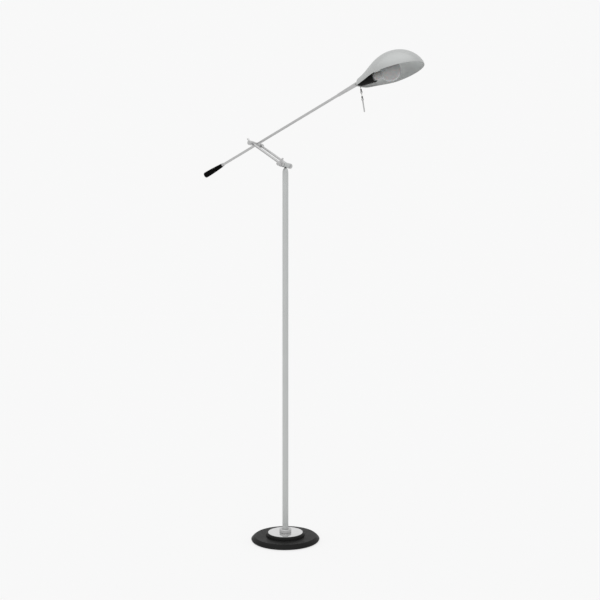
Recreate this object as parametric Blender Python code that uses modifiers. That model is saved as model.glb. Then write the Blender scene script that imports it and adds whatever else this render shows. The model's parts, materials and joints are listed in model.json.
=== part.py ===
"""Adjustable arm floor lamp: round weighted base, slim pole, a twin-rod link and a long boom with a
half-teardrop shade.

The frame: origin at the centre of the base's underside, +Z up, +X towards the shade, +Y along the two
pivot barrels, away from their lock knobs. All lengths are in metres and all angles in degrees.
"""

import math

import bmesh
import bpy

# ---- Clearances
GAP = 0.0003  # between two pieces that touch
RUNNING = 0.0003  # radial, round a shaft that turns or slides

# ---- Base
FELT_THICKNESS = 0.002
BASE_RADIUS = 0.127
FELT_INSET = 0.011
FELT_RADIUS = BASE_RADIUS - FELT_INSET
BASE_TOP_Z = 0.0190
BASE_SHOULDER_WIDTH = 0.0125
BASE_SHOULDER_BOW = 0.0010
BASE_FLAT_RADIUS = BASE_RADIUS - BASE_SHOULDER_WIDTH
BASE_BELLY_Z = 0.0075
BASE_FOOT_INSET = 0.0030
BASE_FOOT_RADIUS = BASE_RADIUS - BASE_FOOT_INSET
RECESS_RADIUS = 0.030
RECESS_TOP_Z = 0.0115
CHANNEL_WIDTH = 0.0085
CHANNEL_TOP_Z = 0.0095
GROMMET_LENGTH = 0.0090
GROMMET_INSET = 0.0040
GROMMET_HOLE_RADIUS = 0.0023
PLATE_RADIUS = 0.0643
STEP_LAND_WIDTH = 0.0015
STEP_FLANK_WIDTH = 0.0060
STEP_NECK_RADIUS = PLATE_RADIUS + STEP_LAND_WIDTH
STEP_RADIUS = STEP_NECK_RADIUS + STEP_FLANK_WIDTH
STEP_HEIGHT = 0.0111
STEP_FOOT_HEIGHT = 0.0010
STEP_TOP_Z = BASE_TOP_Z + GAP + STEP_HEIGHT
PLATE_PROUD = 0.0004
PLATE_EDGE = 0.0003
PLATE_TOP_Z = STEP_TOP_Z + PLATE_PROUD
PLATE_SEAT_DEPTH = 0.0030
POLE_RADIUS = 0.0111
COLLAR_WALL = 0.0109
COLLAR_RADIUS = POLE_RADIUS + COLLAR_WALL
COLLAR_HEIGHT = 0.0130
COLLAR_EDGE = 0.0030

# ---- Pole
POLE_WALL = 0.0015
POLE_TOP_Z = 1.3665
STEM_RADIUS = 0.0042
CAP_HEIGHT = 0.0180
CAP_TOP_LAND = 0.0015
CAP_TOP_RADIUS = STEM_RADIUS + RUNNING + CAP_TOP_LAND
CAP_SPIGOT = 0.0180
PLUG_LENGTH = 0.0260
TIE_ROD_RADIUS = 0.0045
TIE_ROD_PROUD = 0.0010
TIE_ROD_SHY = 0.0020
TIE_NUT_WALL = 0.0050
TIE_NUT_RADIUS = TIE_ROD_RADIUS + TIE_NUT_WALL
TIE_NUT_HEIGHT = 0.0038
TIE_WASHER_RADIUS = 0.0120
WASHER_THICKNESS = 0.0009

# ---- Swivel and lower pivot
STEM_NECK_LENGTH = 0.0034
HUB_RADIUS = 0.0098
HUB_EDGE = 0.0008
LOWER_AXIS_Z = POLE_TOP_Z + GAP + CAP_HEIGHT + STEM_NECK_LENGTH + HUB_RADIUS
AXLE_RADIUS = 0.0030
STEM_SHY = 0.0020
STEM_PROUD = 0.0030
SWIVEL_NUT_WALL = 0.0034
SWIVEL_NUT_HEIGHT = 0.0050
ROD_OFFSET = 0.0260
EYE_LENGTH = 0.0130
SPACER_LENGTH = 0.0017
SPACER_INSET = 0.0015
HUB_HALF_LENGTH = ROD_OFFSET - EYE_LENGTH / 2 - 2 * GAP - SPACER_LENGTH
LOWER_EYE_RADIUS = 0.0098
UPPER_EYE_RADIUS = 0.0084
EYE_EDGE = 0.0006
HEAD_RADIUS = 0.0070
LOWER_HEAD_HEIGHT = 0.0036
UPPER_HEAD_HEIGHT = 0.0085

# ---- Link
LINK_LENGTH = 0.1650
LINK_ELEVATION = 34.0
LINK_ROD_RADIUS = 0.0045
ROD_ENTRY = 0.0040

# ---- Lock knobs
KNOB_LENGTH = 0.0135
LOWER_KNOB_RADIUS = 0.0082
UPPER_KNOB_RADIUS = 0.0086
KNOB_EDGE = 0.0012
KNOB_THREAD_DEPTH = 0.0052
TOMMY_RADIUS = 0.0034
TOMMY_FLOOR = 0.0010
TOMMY_SEAT = AXLE_RADIUS + RUNNING + TOMMY_FLOOR
LOWER_TOMMY_INSET = 0.0052
UPPER_TOMMY_INSET = 0.0090
LOWER_TOMMY_REACH = 0.0270
LOWER_TOMMY_ANGLE = 41.0
UPPER_TOMMY_REACH = 0.0240
UPPER_TOMMY_ANGLE = 127.0

# ---- Boom
ARM_ELEVATION = 19.8
ARM_RADIUS = 0.0047
ARM_WALL = 0.0011
BLOCK_WALL = 0.0027
BLOCK_RADIUS = ARM_RADIUS + BLOCK_WALL
TRUNNION_STANDOFF = 0.0030
GRIP_END = -0.2800
GRIP_LENGTH = 0.0980
GRIP_NECK_WALL = 0.0025
GRIP_NECK_RADIUS = ARM_RADIUS + GRIP_NECK_WALL
GRIP_FLARE = 0.0038
GRIP_END_RADIUS = GRIP_NECK_RADIUS + GRIP_FLARE
GRIP_ROUND_END = 0.0060
GRIP_SHOULDER = 0.0020
GRIP_EDGE = 0.0006
GRIP_SOCKET_DEPTH = 0.0320
GRIP_RING_LENGTH = 0.0055
GRIP_RING_WALL = 0.0019
GRIP_RING_EDGE = 0.0010
CONE_START = 0.3920
CONE_START_WALL = 0.0009
CONE_START_RADIUS = ARM_RADIUS + CONE_START_WALL
CONE_EDGE = 0.0006
CONE_SOCKET_DEPTH = 0.0300
NECK_STATION = 0.4740
NIPPLE_RADIUS = 0.0045
CONE_END_WALL = 0.0029
CONE_END_RADIUS = NIPPLE_RADIUS + CONE_END_WALL
NECK_COLLAR_FLANGE = 0.0004
NECK_COLLAR_RADIUS = CONE_END_RADIUS + NECK_COLLAR_FLANGE
NECK_COLLAR_LENGTH = 0.0026
NECK_COLLAR_STANDOFF = 0.0018

# ---- Shade
SHADE_DROP = 9.7
SHADE_LENGTH = 0.2560
SHADE_WALL = 0.0010
SHADE_NECK_HALF_WIDTH = 0.0297
SHADE_HALF_WIDTH = 0.0760
SHADE_WIDEST_AT = 0.1280
SHADE_NECK_HEIGHT = 0.0295
SHADE_HEIGHT = 0.0755
SHADE_HIGHEST_AT = 0.1500
SHADE_RIM_Z = -0.0143
SHADE_NOSE_POWER = 1.32
SHADE_END_ROUND_WIDE = 0.0368
SHADE_END_ROUND_HIGH = 0.0133
SHADE_NECK_LIFT = 0.0068
SHADE_LIFT_LENGTH = 0.0300
NIPPLE_BORE = 0.0026
NIPPLE_BACK = 0.0160

# ---- Lampholder, along the shade's axis from the neck
CUP_START = 0.0065
CUP_BOSS = 0.0022
CUP_END = 0.0720
CUP_WALL = 0.0010
CUP_LIP = 0.0007
NIPPLE_FRONT = CUP_START + CUP_BOSS
SWITCH_START = 0.0098
SWITCH_LENGTH = 0.0140
SWITCH_RADIUS = 0.0088
SWITCH_EDGE = 0.0008
HOLDER_START = 0.0330
HOLDER_END = 0.0645
HOLDER_WALL = 0.0008
HOLDER_FLOOR = 0.0050
HOLDER_CHAMFER = 0.0035
BULB_CAP_START = 0.0400
BULB_CAP_LENGTH = 0.0250
BULB_CAP_RADIUS = 0.0130
BULB_CAP_WALL = 0.0006
BULB_CAP_TAPER = 0.0030
CUP_NECK_INSET = 0.0058
CUP_NECK_RADIUS = BULB_CAP_RADIUS - CUP_NECK_INSET
CUP_MOUTH_FLARE = 0.0051
CUP_MOUTH_RADIUS = BULB_CAP_RADIUS + CUP_MOUTH_FLARE
CUP_POWER = 0.36
CONTACT_RADIUS = 0.0035
BULB_NECK_ENTRY = 0.0060
BULB_NECK_FLARE = 0.0005
BULB_NECK_RADIUS = BULB_CAP_RADIUS + BULB_NECK_FLARE
BULB_RADIUS = 0.0355
BULB_CENTRE = 0.1345
BULB_GLASS = 0.0010

# ---- Pull chain, down from the shade's axis
CHAIN_STATION = 0.0125
WIRE_RADIUS = 0.0013
WIRE_SLIDE = 0.0004
WIRE_TOP = 0.0045
WIRE_ENTRY = 0.0060
SLOT_PAST_WIRE = 0.0010
SPOUT_WALL = 0.0013
SPOUT_RADIUS = WIRE_RADIUS + WIRE_SLIDE + SPOUT_WALL
SPOUT_END = 0.0160
SPOUT_EDGE = 0.0005
BEAD_RADIUS = 0.0030
BELL_RADIUS = 0.0042
UPPER_BEAD_DEPTH = 0.0255
UPPER_BELL_LENGTH = 0.0110
LOWER_BEAD_DEPTH = 0.0520
LOWER_BELL_LENGTH = 0.0110
PULL_LENGTH = 0.0400
PULL_WALL = 0.0008
PULL_RADIUS = WIRE_RADIUS + GAP + PULL_WALL

# ---- Facets round each turned piece
BASE_FACETS = 40
ROUND_FACETS = 20
FACETS = 16
SMALL_FACETS = 12

SMOOTH_ANGLE = 35.0


# ---- Scene helpers
def clear_scene():
    for old in list(bpy.data.objects):
        bpy.data.objects.remove(old)


def new_collection(name):
    made = bpy.data.collections.new(name)
    bpy.context.scene.collection.children.link(made)
    return made


clear_scene()
LAMP = new_collection("adjustable_arm_floor_lamp")
CUTTERS = new_collection("cutters")
CUTTERS.hide_render = True


def material(name, colour, roughness, metallic):
    made = bpy.data.materials.new(name)
    made.use_nodes = True
    shader = made.node_tree.nodes["Principled BSDF"]
    shader.inputs["Base Color"].default_value = (*colour, 1.0)
    shader.inputs["Roughness"].default_value = roughness
    shader.inputs["Metallic"].default_value = metallic
    made.diffuse_color = (*colour, 1.0)
    return made


PALE_ENAMEL = material("pale_enamel", (0.52, 0.54, 0.53), 0.45, 0.2)
POLISHED_STEEL = material("polished_steel", (0.70, 0.70, 0.69), 0.15, 1.0)
SATIN_STEEL = material("satin_steel", (0.48, 0.48, 0.48), 0.35, 1.0)
BLACK_ENAMEL = material("black_enamel", (0.02, 0.02, 0.02), 0.40, 0.0)
BLACK_GRIP = material("black_grip", (0.015, 0.015, 0.015), 0.45, 0.0)
GUNMETAL = material("gunmetal", (0.06, 0.06, 0.06), 0.35, 1.0)
PLATED_STEEL = material("plated_steel", (0.55, 0.55, 0.52), 0.40, 1.0)
BRASS = material("brass", (0.60, 0.45, 0.20), 0.35, 1.0)
FELT = material("felt", (0.03, 0.03, 0.03), 1.0, 0.0)
RUBBER = material("rubber", (0.02, 0.02, 0.02), 0.8, 0.0)
NYLON = material("nylon", (0.04, 0.04, 0.04), 0.5, 0.0)
HOLDER_PLASTIC = material("holder_plastic", (0.05, 0.05, 0.05), 0.4, 0.0)
BULB_WHITE = material("bulb_white", (0.80, 0.80, 0.80), 0.15, 0.0)


def axis_empty(name, parent, location, pitch=0.0):
    """An empty on a joint's axis. A positive pitch, in degrees, turns its +X downwards."""
    made = bpy.data.objects.new(name, None)
    LAMP.objects.link(made)
    made.parent = parent
    made.location = location
    made.rotation_euler = (0.0, math.radians(pitch), 0.0)
    return made


def place(made, parent, location, rotation):
    made.parent = parent
    made.location = location
    made.rotation_euler = tuple(math.radians(angle) for angle in rotation)
    return made


UP = (0.0, 0.0, 0.0)  # a turned piece's own axis left along Z
ALONG_X = (0.0, 90.0, 0.0)
ALONG_Y = (-90.0, 0.0, 0.0)


def linked(name, mesh, look):
    made = bpy.data.objects.new(name, mesh)
    if look is None:
        CUTTERS.objects.link(made)
        made.hide_render = True
        made.display_type = "WIRE"
    else:
        LAMP.objects.link(made)
        mesh.materials.append(look)
    return made


def turned(name, look, profile, parent=None, location=(0, 0, 0), rotation=UP, ring=False,
           steps=FACETS):
    """A turned solid. The profile is (radius, height) points, down its outer side from the top."""
    mesh = bpy.data.meshes.new(name)
    points = [(radius, 0.0, height) for radius, height in profile]
    edges = [(i, i + 1) for i in range(len(points) - 1)]
    if ring:
        edges.append((len(points) - 1, 0))
    mesh.from_pydata(points, edges, [])
    made = linked(name, mesh, look)
    screw = made.modifiers.new("turn", "SCREW")
    screw.steps = steps
    screw.render_steps = steps
    screw.use_merge_vertices = True
    screw.merge_threshold = 0.00001
    screw.use_smooth_shade = True
    return place(made, parent, location, rotation)


def rod(name, look, radius, low, high, parent=None, location=(0, 0, 0), rotation=UP, steps=FACETS,
        chamfer=0.0):
    """A turned rod between two heights on its own axis, with its corners taken off."""
    profile = [(0, high), (radius - chamfer, high), (radius, high - chamfer)]
    profile += [(radius, low + chamfer), (radius - chamfer, low), (0, low)]
    if chamfer == 0.0:
        profile = [(0, high), (radius, high), (radius, low), (0, low)]
    return turned(name, look, profile, parent, location, rotation, steps=steps)


def tube(name, look, radius, bore, low, high, parent=None, location=(0, 0, 0), rotation=UP, steps=FACETS,
         chamfer=0.0):
    """A turned tube between two heights on its own axis, with its outer corners taken off."""
    profile = [(radius - chamfer, high), (radius, high - chamfer), (radius, low + chamfer)]
    profile += [(radius - chamfer, low), (bore, low), (bore, high)]
    if chamfer == 0.0:
        profile = [(radius, high), (radius, low), (bore, low), (bore, high)]
    return turned(name, look, profile, parent, location, rotation, ring=True, steps=steps)


def arc(centre_radius, centre_height, across, along, start, end, count):
    """Points on an elliptical arc of a profile, from one angle to another in degrees."""
    found = []
    for i in range(count):
        angle = math.radians(start + (end - start) * i / (count - 1))
        point = (centre_radius + across * math.cos(angle), centre_height + along * math.sin(angle))
        found.append(point)
    return found


def bowed(start, end, bow, count):
    """Points of a profile from one to another, bowed outwards in between."""
    across = end[0] - start[0]
    along = end[1] - start[1]
    length = math.hypot(across, along)
    found = []
    for i in range(count):
        part = i / (count - 1)
        out = bow * math.sin(math.pi * part) / length
        found.append((start[0] + across * part - along * out, start[1] + along * part + across * out))
    return found


def box_mesh(name, size):
    mesh = bpy.data.meshes.new(name)
    shape = bmesh.new()
    bmesh.ops.create_cube(shape, size=1.0)
    bmesh.ops.scale(shape, vec=size, verts=shape.verts)
    shape.to_mesh(mesh)
    shape.free()
    return mesh


def cut(made, cutter):
    """Takes the cutter out of a piece."""
    modifier = made.modifiers.new("cut", "BOOLEAN")
    modifier.operation = "DIFFERENCE"
    modifier.solver = "EXACT"
    modifier.object = cutter
    return made


def hexagon(name, look, radius, bore, low, high, parent, location, rotation):
    """A hexagon nut with a round bore."""
    nut = rod(name, look, radius, low, high, parent, location, rotation, steps=6)
    past = (high - low) / 2
    hole = rod(name + "_bore", None, bore, low - past, high + past, parent, location, rotation)
    return cut(nut, hole)


# ---- Base
def build_base():
    rod("felt_pad", FELT, FELT_RADIUS, 0.0, FELT_THICKNESS, steps=BASE_FACETS)
    foot_z = FELT_THICKNESS + GAP
    tie_bore = TIE_ROD_RADIUS + RUNNING
    shoulder = bowed((BASE_FLAT_RADIUS, BASE_TOP_Z), (BASE_RADIUS, BASE_BELLY_Z), BASE_SHOULDER_BOW, 6)
    profile = shoulder + [(BASE_FOOT_RADIUS, foot_z), (RECESS_RADIUS, foot_z)]
    profile += [(RECESS_RADIUS, RECESS_TOP_Z), (tie_bore, RECESS_TOP_Z), (tie_bore, BASE_TOP_Z)]
    weight = turned("base_weight", BLACK_ENAMEL, profile, ring=True, steps=BASE_FACETS)
    channel_height = CHANNEL_TOP_Z - foot_z
    channel_size = (CHANNEL_WIDTH, BASE_RADIUS, channel_height * 2)
    channel = linked("cord_channel", box_mesh("cord_channel", channel_size), None)
    place(channel, None, (0, RECESS_RADIUS / 2 + BASE_RADIUS / 2 + GAP, foot_z), UP)
    cut(weight, channel)

    build_grommet(foot_z)

    low = BASE_TOP_Z + GAP
    seat_z = STEP_TOP_Z - PLATE_SEAT_DEPTH
    seat_radius = PLATE_RADIUS + GAP
    profile = [(seat_radius, STEP_TOP_Z)]
    profile += arc(STEP_NECK_RADIUS, low + STEP_FOOT_HEIGHT, STEP_FLANK_WIDTH,
                   STEP_HEIGHT - STEP_FOOT_HEIGHT, 90, 0, 4)
    profile += [(STEP_RADIUS, low), (tie_bore, low), (tie_bore, seat_z), (seat_radius, seat_z)]
    turned("base_step", BLACK_ENAMEL, profile, ring=True, steps=BASE_FACETS)

    low = seat_z + GAP
    profile = [(PLATE_RADIUS - PLATE_EDGE, PLATE_TOP_Z), (PLATE_RADIUS, PLATE_TOP_Z - PLATE_EDGE)]
    profile += [(PLATE_RADIUS, low), (tie_bore, low), (tie_bore, PLATE_TOP_Z)]
    turned("base_plate", POLISHED_STEEL, profile, ring=True, steps=BASE_FACETS)

    collar_low = PLATE_TOP_Z + GAP
    collar_top = collar_low + COLLAR_HEIGHT
    fit = POLE_RADIUS + GAP
    profile = arc(COLLAR_RADIUS - COLLAR_EDGE, collar_top - COLLAR_EDGE, COLLAR_EDGE, COLLAR_EDGE, 90, 0, 3)
    profile += [(COLLAR_RADIUS, collar_low), (fit, collar_low), (fit, collar_top)]
    turned("pole_collar", SATIN_STEEL, profile, ring=True, steps=FACETS)


def build_grommet(foot_z):
    """The cord's way out: a rubber block that fills the channel's mouth, with its hole."""
    height = CHANNEL_TOP_Z - GAP - foot_z
    width = CHANNEL_WIDTH - 2 * GAP
    centre_y = BASE_FOOT_RADIUS - GROMMET_INSET - GROMMET_LENGTH / 2
    centre_z = foot_z + height / 2
    block = linked("cord_grommet", box_mesh("cord_grommet", (width, GROMMET_LENGTH, height)), RUBBER)
    place(block, None, (0, centre_y, centre_z), UP)
    hole = rod("grommet_hole", None, GROMMET_HOLE_RADIUS, -GROMMET_LENGTH, GROMMET_LENGTH, None,
               (0, centre_y, centre_z), ALONG_Y)
    cut(block, hole)


# ---- Pole
def build_pole():
    pole_low = PLATE_TOP_Z + GAP
    inner = POLE_RADIUS - POLE_WALL
    tube("pole_tube", PALE_ENAMEL, POLE_RADIUS, inner, pole_low, POLE_TOP_Z, steps=ROUND_FACETS)
    plug_low = pole_low + GAP
    plug_bore = TIE_ROD_RADIUS + RUNNING
    tube("pole_foot_plug", PLATED_STEEL, inner - GAP, plug_bore, plug_low, plug_low + PLUG_LENGTH)

    washer_top = RECESS_TOP_Z - GAP
    nut_top = washer_top - WASHER_THICKNESS - GAP
    nut_low = nut_top - TIE_NUT_HEIGHT
    rod_low = nut_low - TIE_ROD_PROUD
    rod("tie_rod", PLATED_STEEL, TIE_ROD_RADIUS, rod_low, plug_low + PLUG_LENGTH - TIE_ROD_SHY)
    tube("tie_washer", PLATED_STEEL, TIE_WASHER_RADIUS, plug_bore, washer_top - WASHER_THICKNESS, washer_top)
    hexagon("tie_nut", PLATED_STEEL, TIE_NUT_RADIUS, plug_bore, nut_low, nut_top, None, (0, 0, 0), UP)

    stem_bore = STEM_RADIUS + RUNNING
    cap_low = POLE_TOP_Z + GAP
    cap_top = cap_low + CAP_HEIGHT
    spigot = inner - GAP
    spigot_low = POLE_TOP_Z - CAP_SPIGOT
    profile = arc(CAP_TOP_RADIUS, cap_low, POLE_RADIUS - CAP_TOP_RADIUS, CAP_HEIGHT, 90, 0, 5)
    profile += [(spigot, cap_low), (spigot, spigot_low), (stem_bore, spigot_low), (stem_bore, cap_top)]
    turned("pole_top_cap", PALE_ENAMEL, profile, ring=True, steps=ROUND_FACETS)


# ---- Swivel: turns on the pole
def build_swivel(swivel):
    """The swivel's own heights are from the lower pivot's axis."""
    cap_bottom = POLE_TOP_Z - CAP_SPIGOT - LOWER_AXIS_Z
    washer_top = cap_bottom - GAP
    nut_top = washer_top - WASHER_THICKNESS - GAP
    nut_low = nut_top - SWIVEL_NUT_HEIGHT
    stem_top = -(AXLE_RADIUS + RUNNING + STEM_SHY)
    nut_radius = STEM_RADIUS + SWIVEL_NUT_WALL
    rod("swivel_stem", GUNMETAL, STEM_RADIUS, nut_low - STEM_PROUD, stem_top, swivel)
    tube("swivel_washer", NYLON, POLE_RADIUS - POLE_WALL - 2 * GAP, STEM_RADIUS + RUNNING,
         washer_top - WASHER_THICKNESS, washer_top, swivel)
    hexagon("swivel_nut", PLATED_STEEL, nut_radius, STEM_RADIUS + GAP, nut_low, nut_top, swivel,
            (0, 0, 0), UP)
    hub = tube("pivot_hub", PALE_ENAMEL, HUB_RADIUS, AXLE_RADIUS + RUNNING, -HUB_HALF_LENGTH,
               HUB_HALF_LENGTH, swivel, rotation=ALONG_Y, steps=ROUND_FACETS, chamfer=HUB_EDGE)
    entry = rod("stem_entry", None, STEM_RADIUS + GAP, -2 * HUB_RADIUS, stem_top + GAP, swivel)
    cut(hub, entry)


def along_barrel():
    """Where a barrel's pieces lie from its middle: the washers, the eyes and what is outside them."""
    eye_in = ROD_OFFSET - EYE_LENGTH / 2
    eye_out = ROD_OFFSET + EYE_LENGTH / 2
    washer_in = HUB_HALF_LENGTH + GAP
    washer_out = eye_in - GAP
    return washer_in, washer_out, eye_in, eye_out


SIDES = (("near", -1), ("far", 1))


def build_headed_shaft(name, frame, head_height, end):
    """A shaft with a domed head outside the far eye, from there to its other end."""
    head_low = ROD_OFFSET + EYE_LENGTH / 2 + GAP
    rim = head_low + head_height / 2
    profile = [(0, head_low + head_height), (HEAD_RADIUS * 0.6, head_low + head_height * 0.92)]
    profile += [(HEAD_RADIUS, rim), (HEAD_RADIUS, head_low), (AXLE_RADIUS, head_low)]
    profile += [(AXLE_RADIUS, end), (0, end)]
    turned(name, SATIN_STEEL, profile, frame, rotation=ALONG_Y)


# ---- Link: two rods between the barrels, on its own frame from the lower pivot to the upper
def build_link(link):
    washer_in, washer_out, eye_in, eye_out = along_barrel()
    build_headed_shaft("lower_axle", link, LOWER_HEAD_HEIGHT, -(eye_out + GAP + KNOB_THREAD_DEPTH))
    bore = AXLE_RADIUS + RUNNING
    for side, sign in SIDES:
        low, high = sorted((sign * washer_in, sign * washer_out))
        tube(f"lower_washer_{side}", NYLON, LOWER_EYE_RADIUS - SPACER_INSET, bore, low, high, link,
             rotation=ALONG_Y)
        low, high = sorted((sign * eye_in, sign * eye_out))
        lower = tube(f"lower_eye_{side}", SATIN_STEEL, LOWER_EYE_RADIUS, bore, low, high, link,
                     rotation=ALONG_Y, steps=ROUND_FACETS, chamfer=EYE_EDGE)
        upper = tube(f"upper_eye_{side}", SATIN_STEEL, UPPER_EYE_RADIUS, bore, low, high, link,
                     (LINK_LENGTH, 0, 0), ALONG_Y, steps=ROUND_FACETS, chamfer=EYE_EDGE)
        start = LOWER_EYE_RADIUS - ROD_ENTRY
        stop = LINK_LENGTH - (UPPER_EYE_RADIUS - ROD_ENTRY / 2)
        rod(f"link_rod_{side}", SATIN_STEEL, LINK_ROD_RADIUS, start, stop, link,
            (0, sign * ROD_OFFSET, 0), ALONG_X)
        seat = rod(f"rod_seat_{side}", None, LINK_ROD_RADIUS + GAP, start - GAP, stop + GAP, link,
                   (0, sign * ROD_OFFSET, 0), ALONG_X)
        cut(lower, seat)
        cut(upper, seat)


# ---- Lock knobs
def build_knob(name, frame, radius, inset, reach, angle):
    """A round knob threaded on a shaft's near end. Its tommy bar stands out at an angle above +X."""
    inner = -(ROD_OFFSET + EYE_LENGTH / 2 + GAP)
    outer = inner - KNOB_LENGTH
    bore = AXLE_RADIUS + RUNNING
    bore_end = inner - KNOB_THREAD_DEPTH - GAP
    profile = [(0, bore_end), (bore, bore_end), (bore, inner), (radius, inner)]
    profile += arc(radius - KNOB_EDGE, outer + KNOB_EDGE, KNOB_EDGE, KNOB_EDGE, 0, -90, 3)
    profile.append((0, outer))
    knob = turned(f"{name}_knob", SATIN_STEEL, profile, frame, rotation=ALONG_Y, steps=ROUND_FACETS)

    middle = (0, outer + inset, 0)
    turn = (0.0, 90.0 - angle, 0.0)
    profile = arc(0, reach - TOMMY_RADIUS, TOMMY_RADIUS, TOMMY_RADIUS, 90, 0, 4)
    profile += [(TOMMY_RADIUS, TOMMY_SEAT), (0, TOMMY_SEAT)]
    turned(f"{name}_tommy_bar", SATIN_STEEL, profile, frame, middle, turn, steps=SMALL_FACETS)
    hole = rod(f"{name}_tommy_hole", None, TOMMY_RADIUS + GAP, TOMMY_SEAT - GAP, reach, frame,
               middle, turn)
    cut(knob, hole)


# ---- Boom, on a frame whose +X runs along it from the upper pivot to the shade
def build_boom(boom):
    washer_in, washer_out, _, eye_out = along_barrel()
    shaft_bore = AXLE_RADIUS + RUNNING
    arm_bore = ARM_RADIUS + GAP
    socket = arm_bore + TRUNNION_STANDOFF
    block = rod("arm_block", SATIN_STEEL, BLOCK_RADIUS, -HUB_HALF_LENGTH, HUB_HALF_LENGTH, boom,
                rotation=ALONG_Y, steps=ROUND_FACETS, chamfer=EYE_EDGE)
    past = 2 * BLOCK_RADIUS
    cut(block, rod("arm_passage", None, arm_bore, -past, past, boom, rotation=ALONG_X))
    for side, sign in SIDES:
        low, high = sorted((sign * socket, sign * 2 * HUB_HALF_LENGTH))
        cut(block, rod(f"trunnion_seat_{side}", None, shaft_bore, low, high, boom, rotation=ALONG_Y))
        low, high = sorted((sign * washer_in, sign * washer_out))
        tube(f"upper_washer_{side}", NYLON, UPPER_EYE_RADIUS - SPACER_INSET, shaft_bore, low, high, boom,
             rotation=ALONG_Y)
    near_end = -(eye_out + GAP + KNOB_THREAD_DEPTH)
    rod("trunnion_near", PLATED_STEEL, AXLE_RADIUS, near_end, -(socket + GAP), boom, rotation=ALONG_Y)
    build_headed_shaft("trunnion_far", boom, UPPER_HEAD_HEIGHT, socket + GAP)

    tube_low = GRIP_END + GRIP_LENGTH - GRIP_SOCKET_DEPTH
    tube_high = CONE_START + CONE_SOCKET_DEPTH
    tube("boom_tube", SATIN_STEEL, ARM_RADIUS, ARM_RADIUS - ARM_WALL, tube_low, tube_high, boom,
         rotation=ALONG_X)
    build_grip(boom, tube_low, arm_bore)
    build_cone(boom, tube_high, arm_bore)


def build_grip(boom, tube_low, arm_bore):
    inner_end = GRIP_END + GRIP_LENGTH
    high = inner_end - GRIP_SHOULDER
    low = GRIP_END + GRIP_ROUND_END
    profile = [(0, tube_low - GAP), (arm_bore, tube_low - GAP), (arm_bore, inner_end)]
    profile += [(GRIP_NECK_RADIUS - GRIP_EDGE, inner_end), (GRIP_NECK_RADIUS, high)]
    rows = 4
    for i in range(1, rows + 1):
        part = i / rows
        size = GRIP_NECK_RADIUS + GRIP_FLARE * math.sin(part * math.pi / 2)
        profile.append((size, high + (low - high) * part))
    profile += arc(0, low, GRIP_END_RADIUS, GRIP_ROUND_END, 0, -90, 4)[1:]
    turned("handle_grip", BLACK_GRIP, profile, boom, rotation=ALONG_X, steps=ROUND_FACETS)
    ring_low = inner_end + GAP
    tube("handle_ring", SATIN_STEEL, ARM_RADIUS + GRIP_RING_WALL, arm_bore, ring_low,
         ring_low + GRIP_RING_LENGTH, boom, rotation=ALONG_X, steps=ROUND_FACETS, chamfer=GRIP_RING_EDGE)


def build_cone(boom, tube_high, arm_bore):
    """The tapered ferrule that carries the shade's nipple in its outer end."""
    collar_low = NECK_STATION - NECK_COLLAR_STANDOFF - NECK_COLLAR_LENGTH
    cone_end = collar_low - GAP
    nipple_bore = NIPPLE_RADIUS + RUNNING
    nipple_seat = NECK_STATION - NIPPLE_BACK - GAP
    profile = [(CONE_END_RADIUS - CONE_EDGE, cone_end), (CONE_END_RADIUS, cone_end - CONE_EDGE)]
    profile += [(CONE_START_RADIUS, CONE_START), (arm_bore, CONE_START), (arm_bore, tube_high + GAP)]
    profile += [(NIPPLE_BORE, tube_high + GAP), (NIPPLE_BORE, nipple_seat)]
    profile += [(nipple_bore, nipple_seat), (nipple_bore, cone_end)]
    turned("boom_cone", SATIN_STEEL, profile, boom, rotation=ALONG_X, ring=True, steps=ROUND_FACETS)


# ---- Shade, on a frame at the neck whose +X is the boom's own axis
def build_neck(neck):
    """The nipple and its collar turn with the shade, which they hold against the cup's threaded boss."""
    collar_high = -NECK_COLLAR_STANDOFF
    bore = NIPPLE_RADIUS + GAP
    tube("neck_nipple", PLATED_STEEL, NIPPLE_RADIUS, NIPPLE_BORE, -NIPPLE_BACK, NIPPLE_FRONT, neck,
         rotation=ALONG_X)
    tube("neck_collar", SATIN_STEEL, NECK_COLLAR_RADIUS, bore, collar_high - NECK_COLLAR_LENGTH,
         collar_high, neck, rotation=ALONG_X, steps=ROUND_FACETS, chamfer=CONE_EDGE)


def swell(station, start, most, most_at, power, end_round):
    """A size along the shade: a slow rise from the neck, then an elliptical fall to the tip."""
    if station < most_at:
        size = start + (most - start) * (0.5 - 0.5 * math.cos(math.pi * station / most_at))
    else:
        past = (station - most_at) / (SHADE_LENGTH - most_at)
        size = most * max(0.0, 1.0 - past * past) ** (0.5 * power)
    if station < end_round:
        short = 1.0 - station / end_round
        size *= math.sqrt(max(0.0, 1.0 - short * short))
    return size


def rim_lift(station):
    """How far the rim rises towards the neck, where the shell closes round the nipple."""
    return SHADE_NECK_LIFT * max(0.0, 1.0 - station / SHADE_LIFT_LENGTH) ** 2


def shade_stations():
    """Stations from the neck to the tip, closer where the outline turns."""
    count = 8
    found = [SHADE_END_ROUND_WIDE * (1 - math.cos(math.pi / 2 * i / count)) for i in range(count)]
    count = 12
    for i in range(count + 1):
        part = math.sin(math.pi / 2 * i / count)
        found.append(SHADE_END_ROUND_WIDE + (SHADE_LENGTH - SHADE_END_ROUND_WIDE) * part)
    return found


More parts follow.
